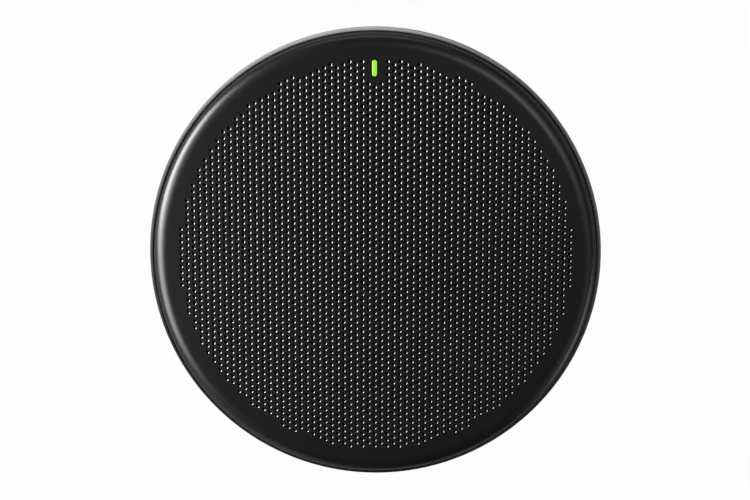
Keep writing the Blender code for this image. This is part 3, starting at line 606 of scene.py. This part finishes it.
# azimuth and elevation in degrees, distance, width and height in metres, brightness
lights = {
    "keyPanel": (162, 24, 0.70, 0.40, 0.32, 20.0),
    "sidePanel": (192, 36, 0.50, 0.30, 0.24, 8.4),
    "rightPanel": (332, 8, 1.0, 0.50, 0.30, 2.2),
    "fillPanel": (8, 48, 1.2, 2.40, 0.50, 0.42),
    "highPanel": (38, 63, 1.2, 0.45, 0.30, 3.0),
    "wallPanel": (20, 5, 1.5, 1.60, 0.26, 0.7),
    "farPanel": (93, 14, 1.2, 0.85, 0.40, 1.0),
    "nearPanel": (238, 10, 1.2, 0.90, 0.34, 0.6),
}


def softLight(name, azimuth, elevation, distance, width, height, radiance):
    # a flat panel that faces the middle of the perforated top
    a, e = math.radians(azimuth), math.radians(elevation)
    away = Vector((math.cos(a) * math.cos(e), math.sin(a) * math.cos(e), math.sin(e)))
    freshStart()
    bpy.ops.object.light_add(type="AREA", location=Vector((0.0, 0.0, faceHeight)) + distance * away)
    lamp = bpy.context.object
    lamp.name = name
    lamp.data.shape = "RECTANGLE"
    lamp.data.size, lamp.data.size_y = width, height
    lamp.data.energy = 4 * radiance * width * height
    lamp.rotation_mode = "QUATERNION"
    lamp.rotation_quaternion = away.to_track_quat("Z", "Y")


for name, row in lights.items():
    softLight(name, *row)

horizon = {"glow": 0.07, "dark": 0.02, "fadeFrom": 0.05, "fadeTo": 0.45, "below": -0.02}


def paintWorld(spec):
    # pale round the horizon, dark overhead as in a tent with an open top, and white under the floor
    world = bpy.data.worlds.new("studio")
    bpy.context.scene.world = world
    world.use_nodes = True
    tree = world.node_tree
    where = addNode(tree, "ShaderNodeTexCoord")
    parts = addNode(tree, "ShaderNodeSeparateXYZ", {"Vector": where.outputs["Generated"]})
    height = parts.outputs["Z"]
    row = [spec[key] for key in ("glow", "dark", "fadeFrom", "fadeTo")]
    fade = between(tree, height, *row, interpolation_type="SMOOTHSTEP")
    under = calculate(tree, "LESS_THAN", height, spec["below"])
    seen = addNode(tree, "ShaderNodeLightPath").outputs["Is Camera Ray"]
    strength = calculate(tree, "MAXIMUM", calculate(tree, "MAXIMUM", fade, under), seen)
    feed(tree.nodes["Background"], {"Strength": strength, "Color": (1.0, 1.0, 1.0, 1.0)})


paintWorld(horizon)

floorSpec = {"size": 8.0, "drop": 0.05 * mm, "colour": grey(0.14), "lift": 0.98, "mirrorLift": 0.15}


def makeFloor(spec):
    # plain paper that reads as white, less so in reflections, and isn't there from below
    freshStart()
    bpy.ops.mesh.primitive_plane_add(size=spec["size"], location=(0.0, 0.0, -spec["drop"]))
    ground = bpy.context.object
    ground.name = "paleFloor"
    finish, tree, shader = newFinish("paleFloor")
    tree.nodes.remove(shader)
    path = addNode(tree, "ShaderNodeLightPath").outputs
    mirrored = calculate(tree, "MAXIMUM", path["Is Glossy Ray"], path["Is Transmission Ray"])
    dimmed = calculate(tree, "MULTIPLY", mirrored, spec["mirrorLift"])
    direct = calculate(tree, "MULTIPLY", path["Is Camera Ray"], spec["lift"])
    share = calculate(tree, "MAXIMUM", direct, dimmed)
    paper = addNode(tree, "ShaderNodeBsdfDiffuse", {"Color": (*spec["colour"], 1.0)}).outputs[0]
    glow = addNode(tree, "ShaderNodeEmission", {"Strength": 1.0}).outputs[0]
    above = addNode(tree, "ShaderNodeMixShader", {0: share, 1: paper, 2: glow}).outputs[0]
    clear = addNode(tree, "ShaderNodeBsdfTransparent").outputs[0]
    behind = addNode(tree, "ShaderNodeNewGeometry").outputs["Backfacing"]
    oneSided = addNode(tree, "ShaderNodeMixShader", {0: behind, 1: above, 2: clear})
    feed(tree.nodes["Material Output"], {"Surface": oneSided.outputs[0]})
    ground.data.materials.append(finish)


makeFloor(floorSpec)
print("camera, floor and lights are set")


# Perforated top

topSpec = {
    "pitch": 2.0 * mm,
    "holeSides": 8,
    "holeMouth": 0.76 * mm,
    "holeBend": 0.56 * mm,  # where the dished mouth meets the bore
    "holeThroat": 0.54 * mm,
    "bendDrop": 0.13 * mm,
    "mouthLean": (28, 37),  # degrees, at the mouth's edge and at the bend
    "fieldReach": 31.35,  # pitches
    "bareColumns": 1,  # each side of the middle, short of the light
    "bareFrom": 27.6,  # pitches
    "sheet": 0.8 * mm,
    "rimWidth": 4.4 * mm,
    "rimDrop": 2.9 * mm,
    "edgeRound": 0.12 * mm,
    "rimSides": 192,
    "rimSteps": 16,
}


def holeMiddles(x, y):
    # the nearest hole of the staggered pattern, in pitches
    column = np.round(x)
    shift = column % 2 / 2
    return column, np.round(y - shift) + shift


def readAll(collection, key, width, kind=float):
    values = np.empty(len(collection) * width, kind)
    collection.foreach_get(key, values)
    return values.reshape(-1, width) if width > 1 else values


def makeHoleCell(spec, top, bottom):
    pitch = spec["pitch"]
    freshStart()
    bpy.ops.mesh.primitive_plane_add(size=pitch)
    cell = settle("perforatedTop")
    paint(cell, "satinBlackPaint", "punchedEdgeWithPaintedShade")
    editOn(cell, "EDGE")
    pick("edges", lambda e: abs(abs(middleOf(e).x) - pitch / 2) < tiny)
    bpy.ops.mesh.subdivide(number_cuts=1)
    pick("edges", lambda e: not e.is_boundary)
    bpy.ops.mesh.delete(type="EDGE")
    bpy.ops.mesh.primitive_circle_add(vertices=spec["holeSides"], radius=spec["holeMouth"])
    pickAll()
    bpy.ops.mesh.bridge_edge_loops()
    pickAll()
    bpy.ops.transform.translate(value=(0.0, 0.0, top))
    bpy.ops.mesh.duplicate_move(TRANSFORM_OT_translate={"value": (0.0, 0.0, bottom - top)})
    pick("verts", lambda v: v.co.z < top - tiny and reach(v.co) < spec["holeMouth"] + tiny)
    shrink = spec["holeThroat"] / spec["holeMouth"]
    bpy.ops.transform.resize(value=(shrink, shrink, 1.0), center_override=(0.0, 0.0, bottom))
    pick("edges", lambda e: atHeight(e, top) and onCircle(e, spec["holeMouth"]))
    pullOut((0.0, 0.0, -spec["bendDrop"]), spec["holeBend"] / spec["holeMouth"])
    pullOut((0.0, 0.0, bottom - top + spec["bendDrop"]), spec["holeThroat"] / spec["holeBend"])
    # the mouths and bores take the darker edge paint, painted shade in the holes
    pick("faces", lambda f: abs(f.normal.z) < 0.99)
    cell.active_material_index = 1
    bpy.ops.object.material_slot_assign()
    pickAll()
    bpy.ops.mesh.remove_doubles(threshold=weld)
    editOff()
    return cell


def makeField(spec, top, bottom):
    # the cell repeated up one column and its half-shifted neighbour, then across
    pitch = spec["pitch"]
    half = math.ceil(spec["fieldReach"])
    cell = makeHoleCell(spec, top, bottom)
    moveAll(cell, (-half * pitch, -half * pitch, 0.0))
    repeat(cell, 2 * half + 1, (0.0, pitch, 0.0))
    editOn(cell, "VERT")
    pickAll()
    bpy.ops.mesh.duplicate_move(TRANSFORM_OT_translate={"value": (pitch, pitch / 2, 0.0)})
    editOff()
    repeat(cell, half, (2 * pitch, 0.0, 0.0))
    column, row = holeMiddles(*readAll(cell.data.polygons, "center", 3)[:, :2].T / pitch)
    bare = (abs(column) <= spec["bareColumns"]) & (row > spec["bareFrom"])
    outside = bare | (np.hypot(column, row) > spec["fieldReach"])
    editOn(cell, "FACE")
    bpy.ops.mesh.select_all(action="DESELECT")
    editOff()
    cell.data.polygons.foreach_set("select", outside)
    bpy.ops.object.mode_set(mode="EDIT")
    bpy.ops.mesh.delete(type="FACE")
    pickAll()
    bpy.ops.mesh.remove_doubles(threshold=weld)
    editOff()
    return cell


def roundMouths(piece, spec, top):
    # shading normals: flats stay flat, and each dished mouth steepens from its edge to its bend
    mesh = piece.data
    normals = readAll(mesh.corner_normals, "vector", 3)
    spots = readAll(mesh.vertices, "co", 3)[readAll(mesh.loops, "vertex_index", 1, int)]
    face = np.repeat(np.arange(len(mesh.polygons)), readAll(mesh.polygons, "loop_total", 1, int))
    lie = readAll(mesh.polygons, "normal", 3)[face]
    middle = readAll(mesh.polygons, "center", 3)[face]
    flat = abs(lie[:, 2]) > 0.9999
    normals[flat] = lie[flat]
    punched = readAll(mesh.polygons, "material_index", 1, int)[face] == 1
    dished = punched & (middle[:, 2] > top - spec["bendDrop"])
    column, row = holeMiddles(middle[dished, 0] / spec["pitch"], middle[dished, 1] / spec["pitch"])
    inward = np.stack((column, row), 1) * spec["pitch"] - spots[dished, :2]
    inward /= np.linalg.norm(inward, axis=1, keepdims=True)
    lean = np.radians(np.where(spots[dished, 2] > top - tiny, *spec["mouthLean"]))
    normals[dished] = np.column_stack((inward * np.sin(lean)[:, None], np.cos(lean)))
    mesh.normals_split_custom_set(normals)


def makePerforatedTop(spec, lens):
    low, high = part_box("top_grille")
    top, edge = high.z, low.z
    bottom = top - spec["sheet"]
    capRadius = high.x
    flatRadius = capRadius - spec["rimWidth"]
    bend = (flatRadius, top - spec["rimDrop"])
    piece = makeField(spec, top, bottom)
    editOn(piece, "EDGE")
    bpy.ops.mesh.primitive_circle_add(vertices=spec["rimSides"], radius=flatRadius, location=(0.0, 0.0, top))
    addPill(*lightOpening(lens), top, lens["endSides"])
    pick("edges", lambda e: atHeight(e, top) and len(e.link_faces) < 2)
    bpy.ops.mesh.fill(use_beauty=True)
    pick("edges", lambda e: atHeight(e, top) and e.is_boundary and onCircle(e, flatRadius))
    # the rim bends over, runs down, turns under its edge and comes back up inside
    across, down, steps = spec["rimWidth"], spec["rimDrop"], spec["rimSteps"]
    inner, tip = capRadius - spec["sheet"], spec["edgeRound"]
    line = curve(bend, across, down, 90, 0, steps)
    line += curve((capRadius - tip, edge + tip), tip, tip, 0, -90, 3)
    line += curve((inner + tip, edge + tip), tip, tip, -90, -180, 3)
    line += curve(bend, across - spec["sheet"], down - spec["sheet"], 0, 90, steps // 2)
    for (r0, z0), (r1, z1) in zip(line, line[1:]):
        pullOut((0.0, 0.0, z1 - z0), r1 / r0)
    pick("edges", lambda e: atHeight(e, top) and e.is_boundary)
    pullOut((0.0, 0.0, bottom - top))
    pick("edges", lambda e: atHeight(e, bottom) and e.is_boundary)
    bpy.ops.mesh.fill(use_beauty=True)
    cleanUp(piece, 28)
    roundMouths(piece, spec, top)
    place(piece, "housing", "satin_black_paint", "top_grille")


makePerforatedTop(topSpec, lensSpec)


# Status lens

def makeStatusLens(spec):
    width, length, sides = spec["width"], spec["length"], spec["endSides"]
    piece = pillBlock("statusLens", width, length, lensLow.z, lensHigh.z, sides)
    editOn(piece, "EDGE")
    pick("edges", lambda e: atHeight(e, lensHigh.z))
    bpy.ops.mesh.bevel(offset=spec["edgeRound"], segments=3, profile=0.5)
    editOff()
    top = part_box("dust_cloth")[0].z - spec["shoulderDrop"]
    more = 2 * spec["shoulder"]
    shoulder = pillBlock("shoulder", width + more, length + more, top - spec["shoulderHeight"], top, sides)
    cutWith(piece, shoulder, "UNION")
    cleanUp(piece)
    paint(piece, "litGreenLens", "mouldedBlackPlastic")
    paintFaces(piece, 1, lambda f: f.calc_center_median().z < top + tiny)
    place(piece, "housing", "green_light", "status_lens")


makeStatusLens(lensSpec)


# Cloth behind the holes

clothSpec = {"sides": 128}


def makeDustCloth(spec, lens):
    low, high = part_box("dust_cloth")
    freshStart()
    bpy.ops.mesh.primitive_circle_add(vertices=spec["sides"], radius=high.x, location=(0.0, 0.0, low.z))
    piece = settle("dustCloth")
    width, length = lightOpening(lens)
    editOn(piece, "EDGE")
    addPill(width, length, low.z, lens["endSides"])
    pickAll()
    bpy.ops.mesh.fill(use_beauty=True)
    pickAll()
    pullOut((0.0, 0.0, high.z - low.z))
    editOff()
    cleanUp(piece)
    paint(piece, "blackWeave")
    place(piece, "housing", "cloth", "dust_cloth")


makeDustCloth(clothSpec, lensSpec)


# Rubber foot

footSpec = {"sides": 128, "width": 7.0 * mm, "edge": 0.6 * mm, "ribs": 3, "ribDepth": 0.25 * mm}
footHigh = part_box("foot_ring")[1]
footInner = footHigh.x - footSpec["width"]


def makeFootRing(spec):
    # fine grooves under it, and rounded lower edges
    outer, inner, edge = footHigh.x, footInner, spec["edge"]
    line = [(inner, footHigh.z), (inner, edge)]
    line += curve((inner + edge, edge), edge, edge, 180, 270, 5)[1:]
    span = (outer - inner - 2 * edge) / (2 * spec["ribs"] + 1)
    for n in range(spec["ribs"]):
        middle = inner + edge + (2 * n + 1.5) * span
        line += curve((middle, 0.0), span / 2, spec["ribDepth"], 180, 0, 6)
    line += curve((outer - edge, edge), edge, edge, 270, 360, 5)
    line += [(outer, footHigh.z), (inner, footHigh.z)]
    piece = turn("footRing", line, spec["sides"])
    paint(piece, "footRubber")
    place(piece, "housing", "rubber", "foot_ring")


makeFootRing(footSpec)


# Lower housing

baseSpec = {
    "sides": 192,
    "lipHeight": 1.4 * mm,
    "lipStep": 1.6 * mm,
    "wall": 2.2 * mm,
    "sideCurve": 15.4 * mm,
    "spigotInset": 3.1 * mm,  # from the lip's radius in to the spigot's
    "spigotWall": 1.4 * mm,
    "spigotHeight": 1.4 * mm,
    "ledgeDrop": 3.3 * mm,
    "ledgeWidth": 3.0 * mm,
    "ledgeThickness": 2.0 * mm,
    "grooveDepth": 1.0 * mm,
    "grooveFit": 0.3 * mm,
    "grooveEdge": 0.25 * mm,
    "bayWall": 2.0 * mm,
    "bayCorner": 1.5 * mm,
    "bayMargin": 2.5 * mm,
    "bayHeadroom": 1.5 * mm,
    "mouthRound": 0.45 * mm,
    "palePart": 0.6,  # faces of the lip that look up more than this get the painted highlight
    "postRadius": 3.0 * mm,
    "lugLength": 4.0 * mm,
    "lugWidth": 7.0 * mm,
    "lugHeight": 8.5 * mm,
    "screwHole": 1.25 * mm,
    "screwEnd": 0.5 * mm,
    "pinHole": 1.2 * mm,
    "fit": 0.3 * mm,
}
baseLow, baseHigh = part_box("base_housing")
quarters = range(1, 5)


def baseSizes(spec):
    # radii and heights that the outside and the hollow share
    lipTop = baseHigh.z - spec["spigotHeight"]
    wallTop = baseHigh.x - spec["lipStep"]
    return {
        "lipTop": lipTop,
        "lipLow": lipTop - spec["lipHeight"],
        "spigot": baseHigh.x - spec["spigotInset"],
        "floorRadius": wallTop - spec["sideCurve"],
        "floorTop": baseLow.z + spec["wall"],
        "ledgeTop": lipTop - spec["ledgeDrop"],
    }


def baseOutline(spec, sizes):
    floor, top, lipLow = baseLow.z, baseHigh.z, sizes["lipLow"]
    bead, edge, spigot = spec["lipHeight"] / 2, spec["grooveEdge"], sizes["spigot"]
    beadMiddle = (baseHigh.x - bead, lipLow + bead)
    grooveOut = footHigh.x + spec["grooveFit"]
    grooveIn = footInner - spec["grooveFit"]
    grooveTop = floor + spec["grooveDepth"]
    line = [(0.0, top)]
    line += curve((spigot - edge, top - edge), edge, edge, 90, 0, 3)
    line += [(spigot, beadMiddle[1])]
    line += curve(beadMiddle, bead, bead, 180, -90, 20)
    line += curve((sizes["floorRadius"], lipLow), spec["sideCurve"], lipLow - floor, 0, -90, 30)
    line += curve((grooveOut + edge, floor + edge), edge, edge, -90, -180, 3)
    line += [(grooveOut, grooveTop), (grooveIn, grooveTop)]
    line += curve((grooveIn - edge, floor + edge), edge, edge, 0, -90, 3)
    return line + [(0.0, floor)]


def baseHollow(spec, sizes):
    lipLow, floorTop, ledgeTop = sizes["lipLow"], sizes["floorTop"], sizes["ledgeTop"]
    depth = lipLow - floorTop
    seat = sizes["spigot"] - spec["spigotWall"]
    ledge = seat - spec["ledgeWidth"]
    ledgeLow = ledgeTop - spec["ledgeThickness"]
    over = baseHigh.z + mm
    lastTurn = -math.degrees(math.asin((lipLow - ledgeLow + spec["ledgeWidth"]) / depth))
    line = [(0.0, floorTop)]
    line += curve((sizes["floorRadius"], lipLow), spec["sideCurve"] - spec["wall"], depth, -90, lastTurn, 16)
    return line + [(ledge, ledgeLow), (ledge, ledgeTop), (seat, ledgeTop), (seat, over), (0.0, over)]


def addLug(spec, number, top):
    # a lump under the ledge, turned to its screw
    x, y = middleXY(f"baffle_screw_{number}")
    inner, half = math.hypot(x, y) - spec["lugLength"], spec["lugWidth"] / 2
    lug = addBlock("lug", (inner, -half, top - spec["lugHeight"]), (baseHigh.x, half, top))
    lug.rotation_euler.z = math.atan2(y, x)
    freshStart()
    lug.select_set(True)
    bpy.context.view_layer.objects.active = lug
    bpy.ops.object.transform_apply(location=True, rotation=True, scale=True)
    return lug


def softenMouth(piece, spec, half, face, roof):
    # rounds the edges where the bay comes out through the wall and the floor
    def inBay(f):
        c = f.calc_center_median()
        return abs(c.x) < half + tiny and c.y > face - tiny and c.z < roof + tiny

    editOn(piece, "EDGE")
    pick("edges", lambda e: len(e.link_faces) == 2 and inBay(e.link_faces[0]) != inBay(e.link_faces[1]))
    bpy.ops.mesh.bevel(offset=spec["mouthRound"], segments=3, profile=0.5, clamp_overlap=True)
    editOff()


def makeLowerHousing(spec):
    sizes = baseSizes(spec)
    netLow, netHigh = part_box("network_socket")
    face, wall, fit = netHigh.y, spec["bayWall"], spec["fit"]
    half, roof = spec["bayMargin"] - netLow.x, netHigh.z + spec["bayHeadroom"]
    out = baseHigh.x + mm
    boardLow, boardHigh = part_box("main_board")
    piece = turn("lowerHousing", baseOutline(spec, sizes), spec["sides"])
    hollow = turn("hollow", baseHollow(spec, sizes), spec["sides"])
    shellLow, shellHigh = (-half - wall, face - wall, -mm), (half + wall, out, roof + wall)
    kept = [addBlock("bayShell", shellLow, shellHigh, spec["bayCorner"] + wall / 2)]
    for n in quarters:
        post = middleXY(f"board_screw_{n}")
        kept.append(addRod("post", spec["postRadius"], baseLow.z, boardLow.z, post))
        kept.append(addLug(spec, n, sizes["ledgeTop"]))
    cutWith(hollow, joinAll(kept))
    cutWith(piece, hollow)
    cutWith(piece, addBlock("bay", (-half, face, -mm), (half, out, roof), spec["bayCorner"]))
    softenMouth(piece, spec, half, face, roof)
    holes = []
    for node in ("network_socket", "usb_socket"):
        a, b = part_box(node)
        windowLow = (a.x - fit, face - 2 * wall, a.z - fit)
        holes.append(addBlock("window", windowLow, (b.x + fit, face + wall, b.z + fit), fit, "y"))
    for n in quarters:
        for screw, top in ((f"board_screw_{n}", boardHigh.z), (f"baffle_screw_{n}", sizes["ledgeTop"] + mm)):
            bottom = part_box(screw)[0].z - spec["screwEnd"]
            holes.append(addRod("pilot", spec["screwHole"], bottom, top, middleXY(screw)))
    pin = middleXY("reset_button")
    holes.append(addRod("pin", spec["pinHole"], baseLow.z - mm, sizes["floorTop"] + mm, pin))
    cutWith(piece, joinAll(holes))
    cleanUp(piece, 32)
    paint(piece, "mouldedBlackPlastic", "lipPaintedLight")
    inner, middle = baseHigh.x - spec["lipHeight"], sizes["lipLow"] + spec["lipHeight"] / 2

    def onLip(f):
        spot = f.calc_center_median()
        return reach(spot) > inner and spot.z > middle and f.normal.z > spec["palePart"]

    # the lip's upward faces take the painted highlight, palest on one side of the ring
    paintFaces(piece, 1, onLip)
    place(piece, "housing", "black_plastic", "base_housing")


makeLowerHousing(baseSpec)


# Sockets in the bay

usbSpec = {
    "wall": 0.3 * mm,
    "corner": 1.5 * mm,
    "depth": 6.4 * mm,
    "tongueWidth": 5.7 * mm,
    "tongueThickness": 0.7 * mm,
    "tongueInset": 1.2 * mm,
    "pads": 10,
    "padPitch": 0.5 * mm,
    "padWidth": 0.26 * mm,
    "padLength": 2.6 * mm,
    "padHeight": 0.06 * mm,
}


def openFront(piece, wall, depth):
    # sinks the face that looks out of the bay, leaving a wall round it
    editOn(piece, "FACE")
    pick("faces", lambda f: f.normal.y > 0.9)
    bpy.ops.mesh.inset(thickness=wall)
    pullOut((0.0, -depth, 0.0))
    editOff()
    return cleanUp(piece, 35)


def makeUsbSocket(spec):
    low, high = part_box("usb_socket")
    shell = addBlock("usbShell", low, high, spec["corner"], "y")
    openFront(shell, spec["wall"], spec["depth"])
    paint(shell, "platedSteel")
    place(shell, "housing", "steel", "usb_socket")
    middle = (low + high) / 2
    half, thick = spec["tongueWidth"] / 2, spec["tongueThickness"] / 2
    front, back = high.y - spec["tongueInset"], high.y - spec["depth"] - spec["wall"] / 2
    tongueLow = (middle.x - half, back, middle.z - thick)
    tongue = addBlock("usbTongue", tongueLow, (middle.x + half, front, middle.z + thick), thick / 2, "z")
    paint(tongue, "mouldedBlackPlastic")
    place(cleanUp(tongue), "housing", "black_plastic")
    left = middle.x - (spec["pads"] - 1) * spec["padPitch"] / 2 - spec["padWidth"] / 2
    padTop = middle.z + thick + spec["padHeight"]
    padLow = (left, front - 2 * spec["padWidth"] - spec["padLength"], middle.z + thick - spec["padHeight"])
    padHigh = (left + spec["padWidth"], front - 2 * spec["padWidth"], padTop)
    pads = addBlock("usbContacts", padLow, padHigh, spec["padHeight"] / 2, "y")
    repeat(pads, spec["pads"], (spec["padPitch"], 0.0, 0.0))
    paint(pads, "goldContact")
    place(cleanUp(pads), "housing", "steel")


makeUsbSocket(usbSpec)

networkSpec = {
    "corner": 0.4 * mm,
    "wall": 0.35 * mm,
    "depth": 20.5 * mm,
    "linerFit": 0.05 * mm,
    "linerInset": 0.4 * mm,
    "cavityWidth": 11.9 * mm,
    "cavityLow": 2.7 * mm,  # above the shell's underside
    "cavityHigh": 10.7 * mm,
    "cavityDepth": 13.0 * mm,
    "latchWidth": 6.2 * mm,
    "latchHigh": 12.3 * mm,
    "wires": 8,
    "wirePitch": 1.02 * mm,
    "wireWidth": 0.42 * mm,
    "wireThickness": 0.3 * mm,
    "wireFrom": 2.2 * mm,  # behind the socket's face
    "wireLength": 9.5 * mm,
    "wireRise": 3.4 * mm,
}


def makeNetworkSocket(spec):
    low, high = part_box("network_socket")
    middle = (low.x + high.x) / 2
    shell = addBlock("networkShell", low, high, spec["corner"], "y")
    openFront(shell, spec["wall"], spec["depth"])
    paint(shell, "platedSteel")
    place(shell, "housing", "steel", "network_socket")
    skin = spec["wall"] + spec["linerFit"]
    front = high.y - spec["linerInset"]
    linerLow = (low.x + skin, high.y - spec["depth"] + spec["linerFit"], low.z + skin)
    linerHigh = (high.x - skin, front, high.z - skin)
    liner = addBlock("networkLiner", linerLow, linerHigh, spec["corner"] / 2, "y")
    back, out = high.y - spec["cavityDepth"], high.y + mm
    floor, ceiling = low.z + spec["cavityLow"], low.z + spec["cavityHigh"]
    for width, top in ((spec["cavityWidth"], ceiling), (spec["latchWidth"], low.z + spec["latchHigh"])):
        corners = (middle - width / 2, back, floor), (middle + width / 2, out, top)
        cutWith(liner, addBlock("cavity", *corners, spec["corner"] / 2, "y"))
    paint(liner, "mouldedBlackPlastic")
    place(cleanUp(liner), "housing", "black_plastic")
    left = middle - (spec["wires"] - 1) * spec["wirePitch"] / 2 - spec["wireWidth"] / 2
    near = high.y - spec["wireFrom"]
    wireLow = (left, near - spec["wireLength"], floor)
    wireHigh = (left + spec["wireWidth"], near, floor + spec["wireThickness"])
    wires = addBlock("networkContacts", wireLow, wireHigh, spec["wireThickness"] / 4, "y")
    editOn(wires, "VERT")
    pick("verts", lambda v: v.co.y < near - spec["wireLength"] / 2)
    bpy.ops.transform.translate(value=(0.0, 0.0, spec["wireRise"]))
    editOff()
    repeat(wires, spec["wires"], (spec["wirePitch"], 0.0, 0.0))
    paint(wires, "goldContact")
    place(cleanUp(wires), "housing", "steel")


makeNetworkSocket(networkSpec)


# Reset button

resetSpec = {
    "sides": 32,
    "stem": 0.9 * mm,
    "dish": 0.15 * mm,
    "edge": 0.15 * mm,
    "collarFrom": 1.65 * mm,  # above the button's end
    "collarHeight": 0.8 * mm,
}


def makeResetButton(spec):
    low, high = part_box("reset_button")
    stem, edge, collar = spec["stem"], spec["edge"], (high.x - low.x) / 2
    collarLow = low.z + spec["collarFrom"]
    collarHigh = collarLow + spec["collarHeight"]
    line = curve((0.0, low.z), stem - edge, spec["dish"], 90, 0, 4)
    line += curve((stem - edge, low.z + edge), edge, edge, -90, 0, 3)[1:]
    line += [(stem, collarLow), (collar - edge, collarLow), (collar, collarLow + edge)]
    line += [(collar, collarHigh - edge), (collar - edge, collarHigh), (stem, collarHigh)]
    line += [(stem, high.z - edge), (stem - edge, high.z), (0.0, high.z)]
    piece = turn("resetButton", line, spec["sides"])
    moveAll(piece, (*middleXY("reset_button"), 0.0))
    paint(piece, "greyMoulding")
    place(piece, "reset", "grey_plastic", "reset_button")


makeResetButton(resetSpec)


# Loudspeaker

driverSpec = {
    "sides": 96,
    "coilGlue": 0.15 * mm,
    "coneThickness": 0.6 * mm,
    "coneBow": 0.25 * mm,
    "capThickness": 0.5 * mm,
    "coilThickness": 0.5 * mm,
    "rollRadius": 1.8 * mm,
    "rollThickness": 0.4 * mm,
    "rollLevel": 1.2 * mm,  # above the surround's lowest edge
    "rollIn": 3.4 * mm,  # from the surround's outer edge to the middle of its roll
    "landing": 7.2 * mm,  # from the outer edge in to the inner one
    "waves": 3,
    "waveHeight": 0.5 * mm,
    "spiderThickness": 0.4 * mm,
    "spiderRise": 1.2 * mm,
    "gasketWidth": 1.3 * mm,
    "gasketEdge": 0.3 * mm,
}


def makeCone(spec):
    low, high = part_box("driver_cone")
    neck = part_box("voice_coil")[1].x + spec["coilGlue"]
    thick, steps = spec["coneThickness"], 12
    under = []
    for n in range(steps + 1):
        share = n / steps
        sag = spec["coneBow"] * math.sin(math.pi * share)
        under.append((neck + (high.x - neck) * share, low.z + (high.z - thick - low.z) * share - sag))
    over = [(r, z + thick) for r, z in reversed(under)]
    piece = turn("driverCone", under + over + under[:1], spec["sides"])
    paint(piece, "pressedPulp")
    place(piece, "cone", "paper_cone", "driver_cone")


def makeDustCap(spec):
    low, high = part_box("dust_cap")
    rise, thick = high.z - low.z, spec["capThickness"]
    line = curve((0.0, low.z), high.x, rise, 90, 0, 12)
    line += curve((0.0, low.z), high.x - thick, rise - thick, 0, 90, 12)
    piece = turn("dustCap", line, spec["sides"])
    paint(piece, "pressedPulp")
    place(piece, "cone", "paper_cone", "dust_cap")


def makeVoiceCoil(spec):
    low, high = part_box("voice_coil")
    thick = spec["coilThickness"]
    line = roundedRing(high.x - thick, high.x, low.z, high.z, thick / 5, 2)
    piece = turn("voiceCoil", line, spec["sides"])
    paint(piece, "copperWinding")
    place(piece, "cone", "copper_winding", "voice_coil")


def makeSurround(spec):
    # the skirt inside the roll gives as the cone moves
    low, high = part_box("driver_surround")
    roll, thick = spec["rollRadius"], spec["rollThickness"]
    middle = (high.x - spec["rollIn"], low.z + spec["rollLevel"])
    inner = high.x - spec["landing"]
    lift = math.degrees(math.asin(thick / roll))
    line = [(inner, low.z), (middle[0] - roll + thick, low.z)]
    line += curve(middle, roll - thick, roll - thick, 180, 0, 16)
    line += [(high.x, middle[1]), (high.x, middle[1] + thick)]
    line += curve(middle, roll, roll, lift, 180, 16)
    line += [(middle[0] - roll, low.z + thick), (inner, low.z + thick), (inner, low.z)]
    piece = turn("driverSurround", line, spec["sides"])
    paint(piece, "footRubber")
    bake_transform(piece)
    place(piece, None, "rubber", "driver_surround")


def makeSpider(spec):
    low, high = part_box("driver_spider")
    inner, thick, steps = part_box("voice_coil")[1].x + spec["coilGlue"], spec["spiderThickness"], 36
    under = []
    for n in range(steps + 1):
        share = n / steps
        wave = spec["waveHeight"] * (1 - math.cos(fullTurn * spec["waves"] * share)) / 2
        height = low.z + (spec["spiderRise"] + wave) * (1 - share)
        under.append((inner + (high.x - inner) * share, height))
    over = [(r, z + thick) for r, z in reversed(under)]
    piece = turn("driverSpider", under + over + under[:1], spec["sides"], 60)
    paint(piece, "amberWeave")
    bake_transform(piece)
    place(piece, None, "amber_cloth", "driver_spider")


def makeGasket(spec):
    low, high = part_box("driver_gasket")
    line = roundedRing(high.x - spec["gasketWidth"], high.x, low.z, high.z, spec["gasketEdge"])
    piece = turn("driverGasket", line, spec["sides"])
    paint(piece, "softFoam")
    place(piece, "housing", "foam", "driver_gasket")


for make in (makeCone, makeDustCap, makeVoiceCoil, makeSurround, makeSpider, makeGasket):
    make(driverSpec)


# Pieces kept from the CAD model

slotFinishes = {
    "grey_plastic": "greyMoulding",
    "pale_plastic": "paleMoulding",
    "chip_plastic": "chipMoulding",
    "rubber": "footRubber",
    "circuit_board": "greenBoard",
    "steel": "platedSteel",
    "dark_steel": "blackenedSteel",
    "ferrite": "sinteredFerrite",
    "white_film": "whiteFilm",
    "amber_cloth": "amberWeave",
    "aluminium": "satinAluminium",
}
for part in frame["record"]["subparts"]:
    node = frame["nodes"][part["node"]]
    if not node.hide_render:
        paint(node, slotFinishes[part["material_slot"]])
print("painted the pieces kept from the CAD model")
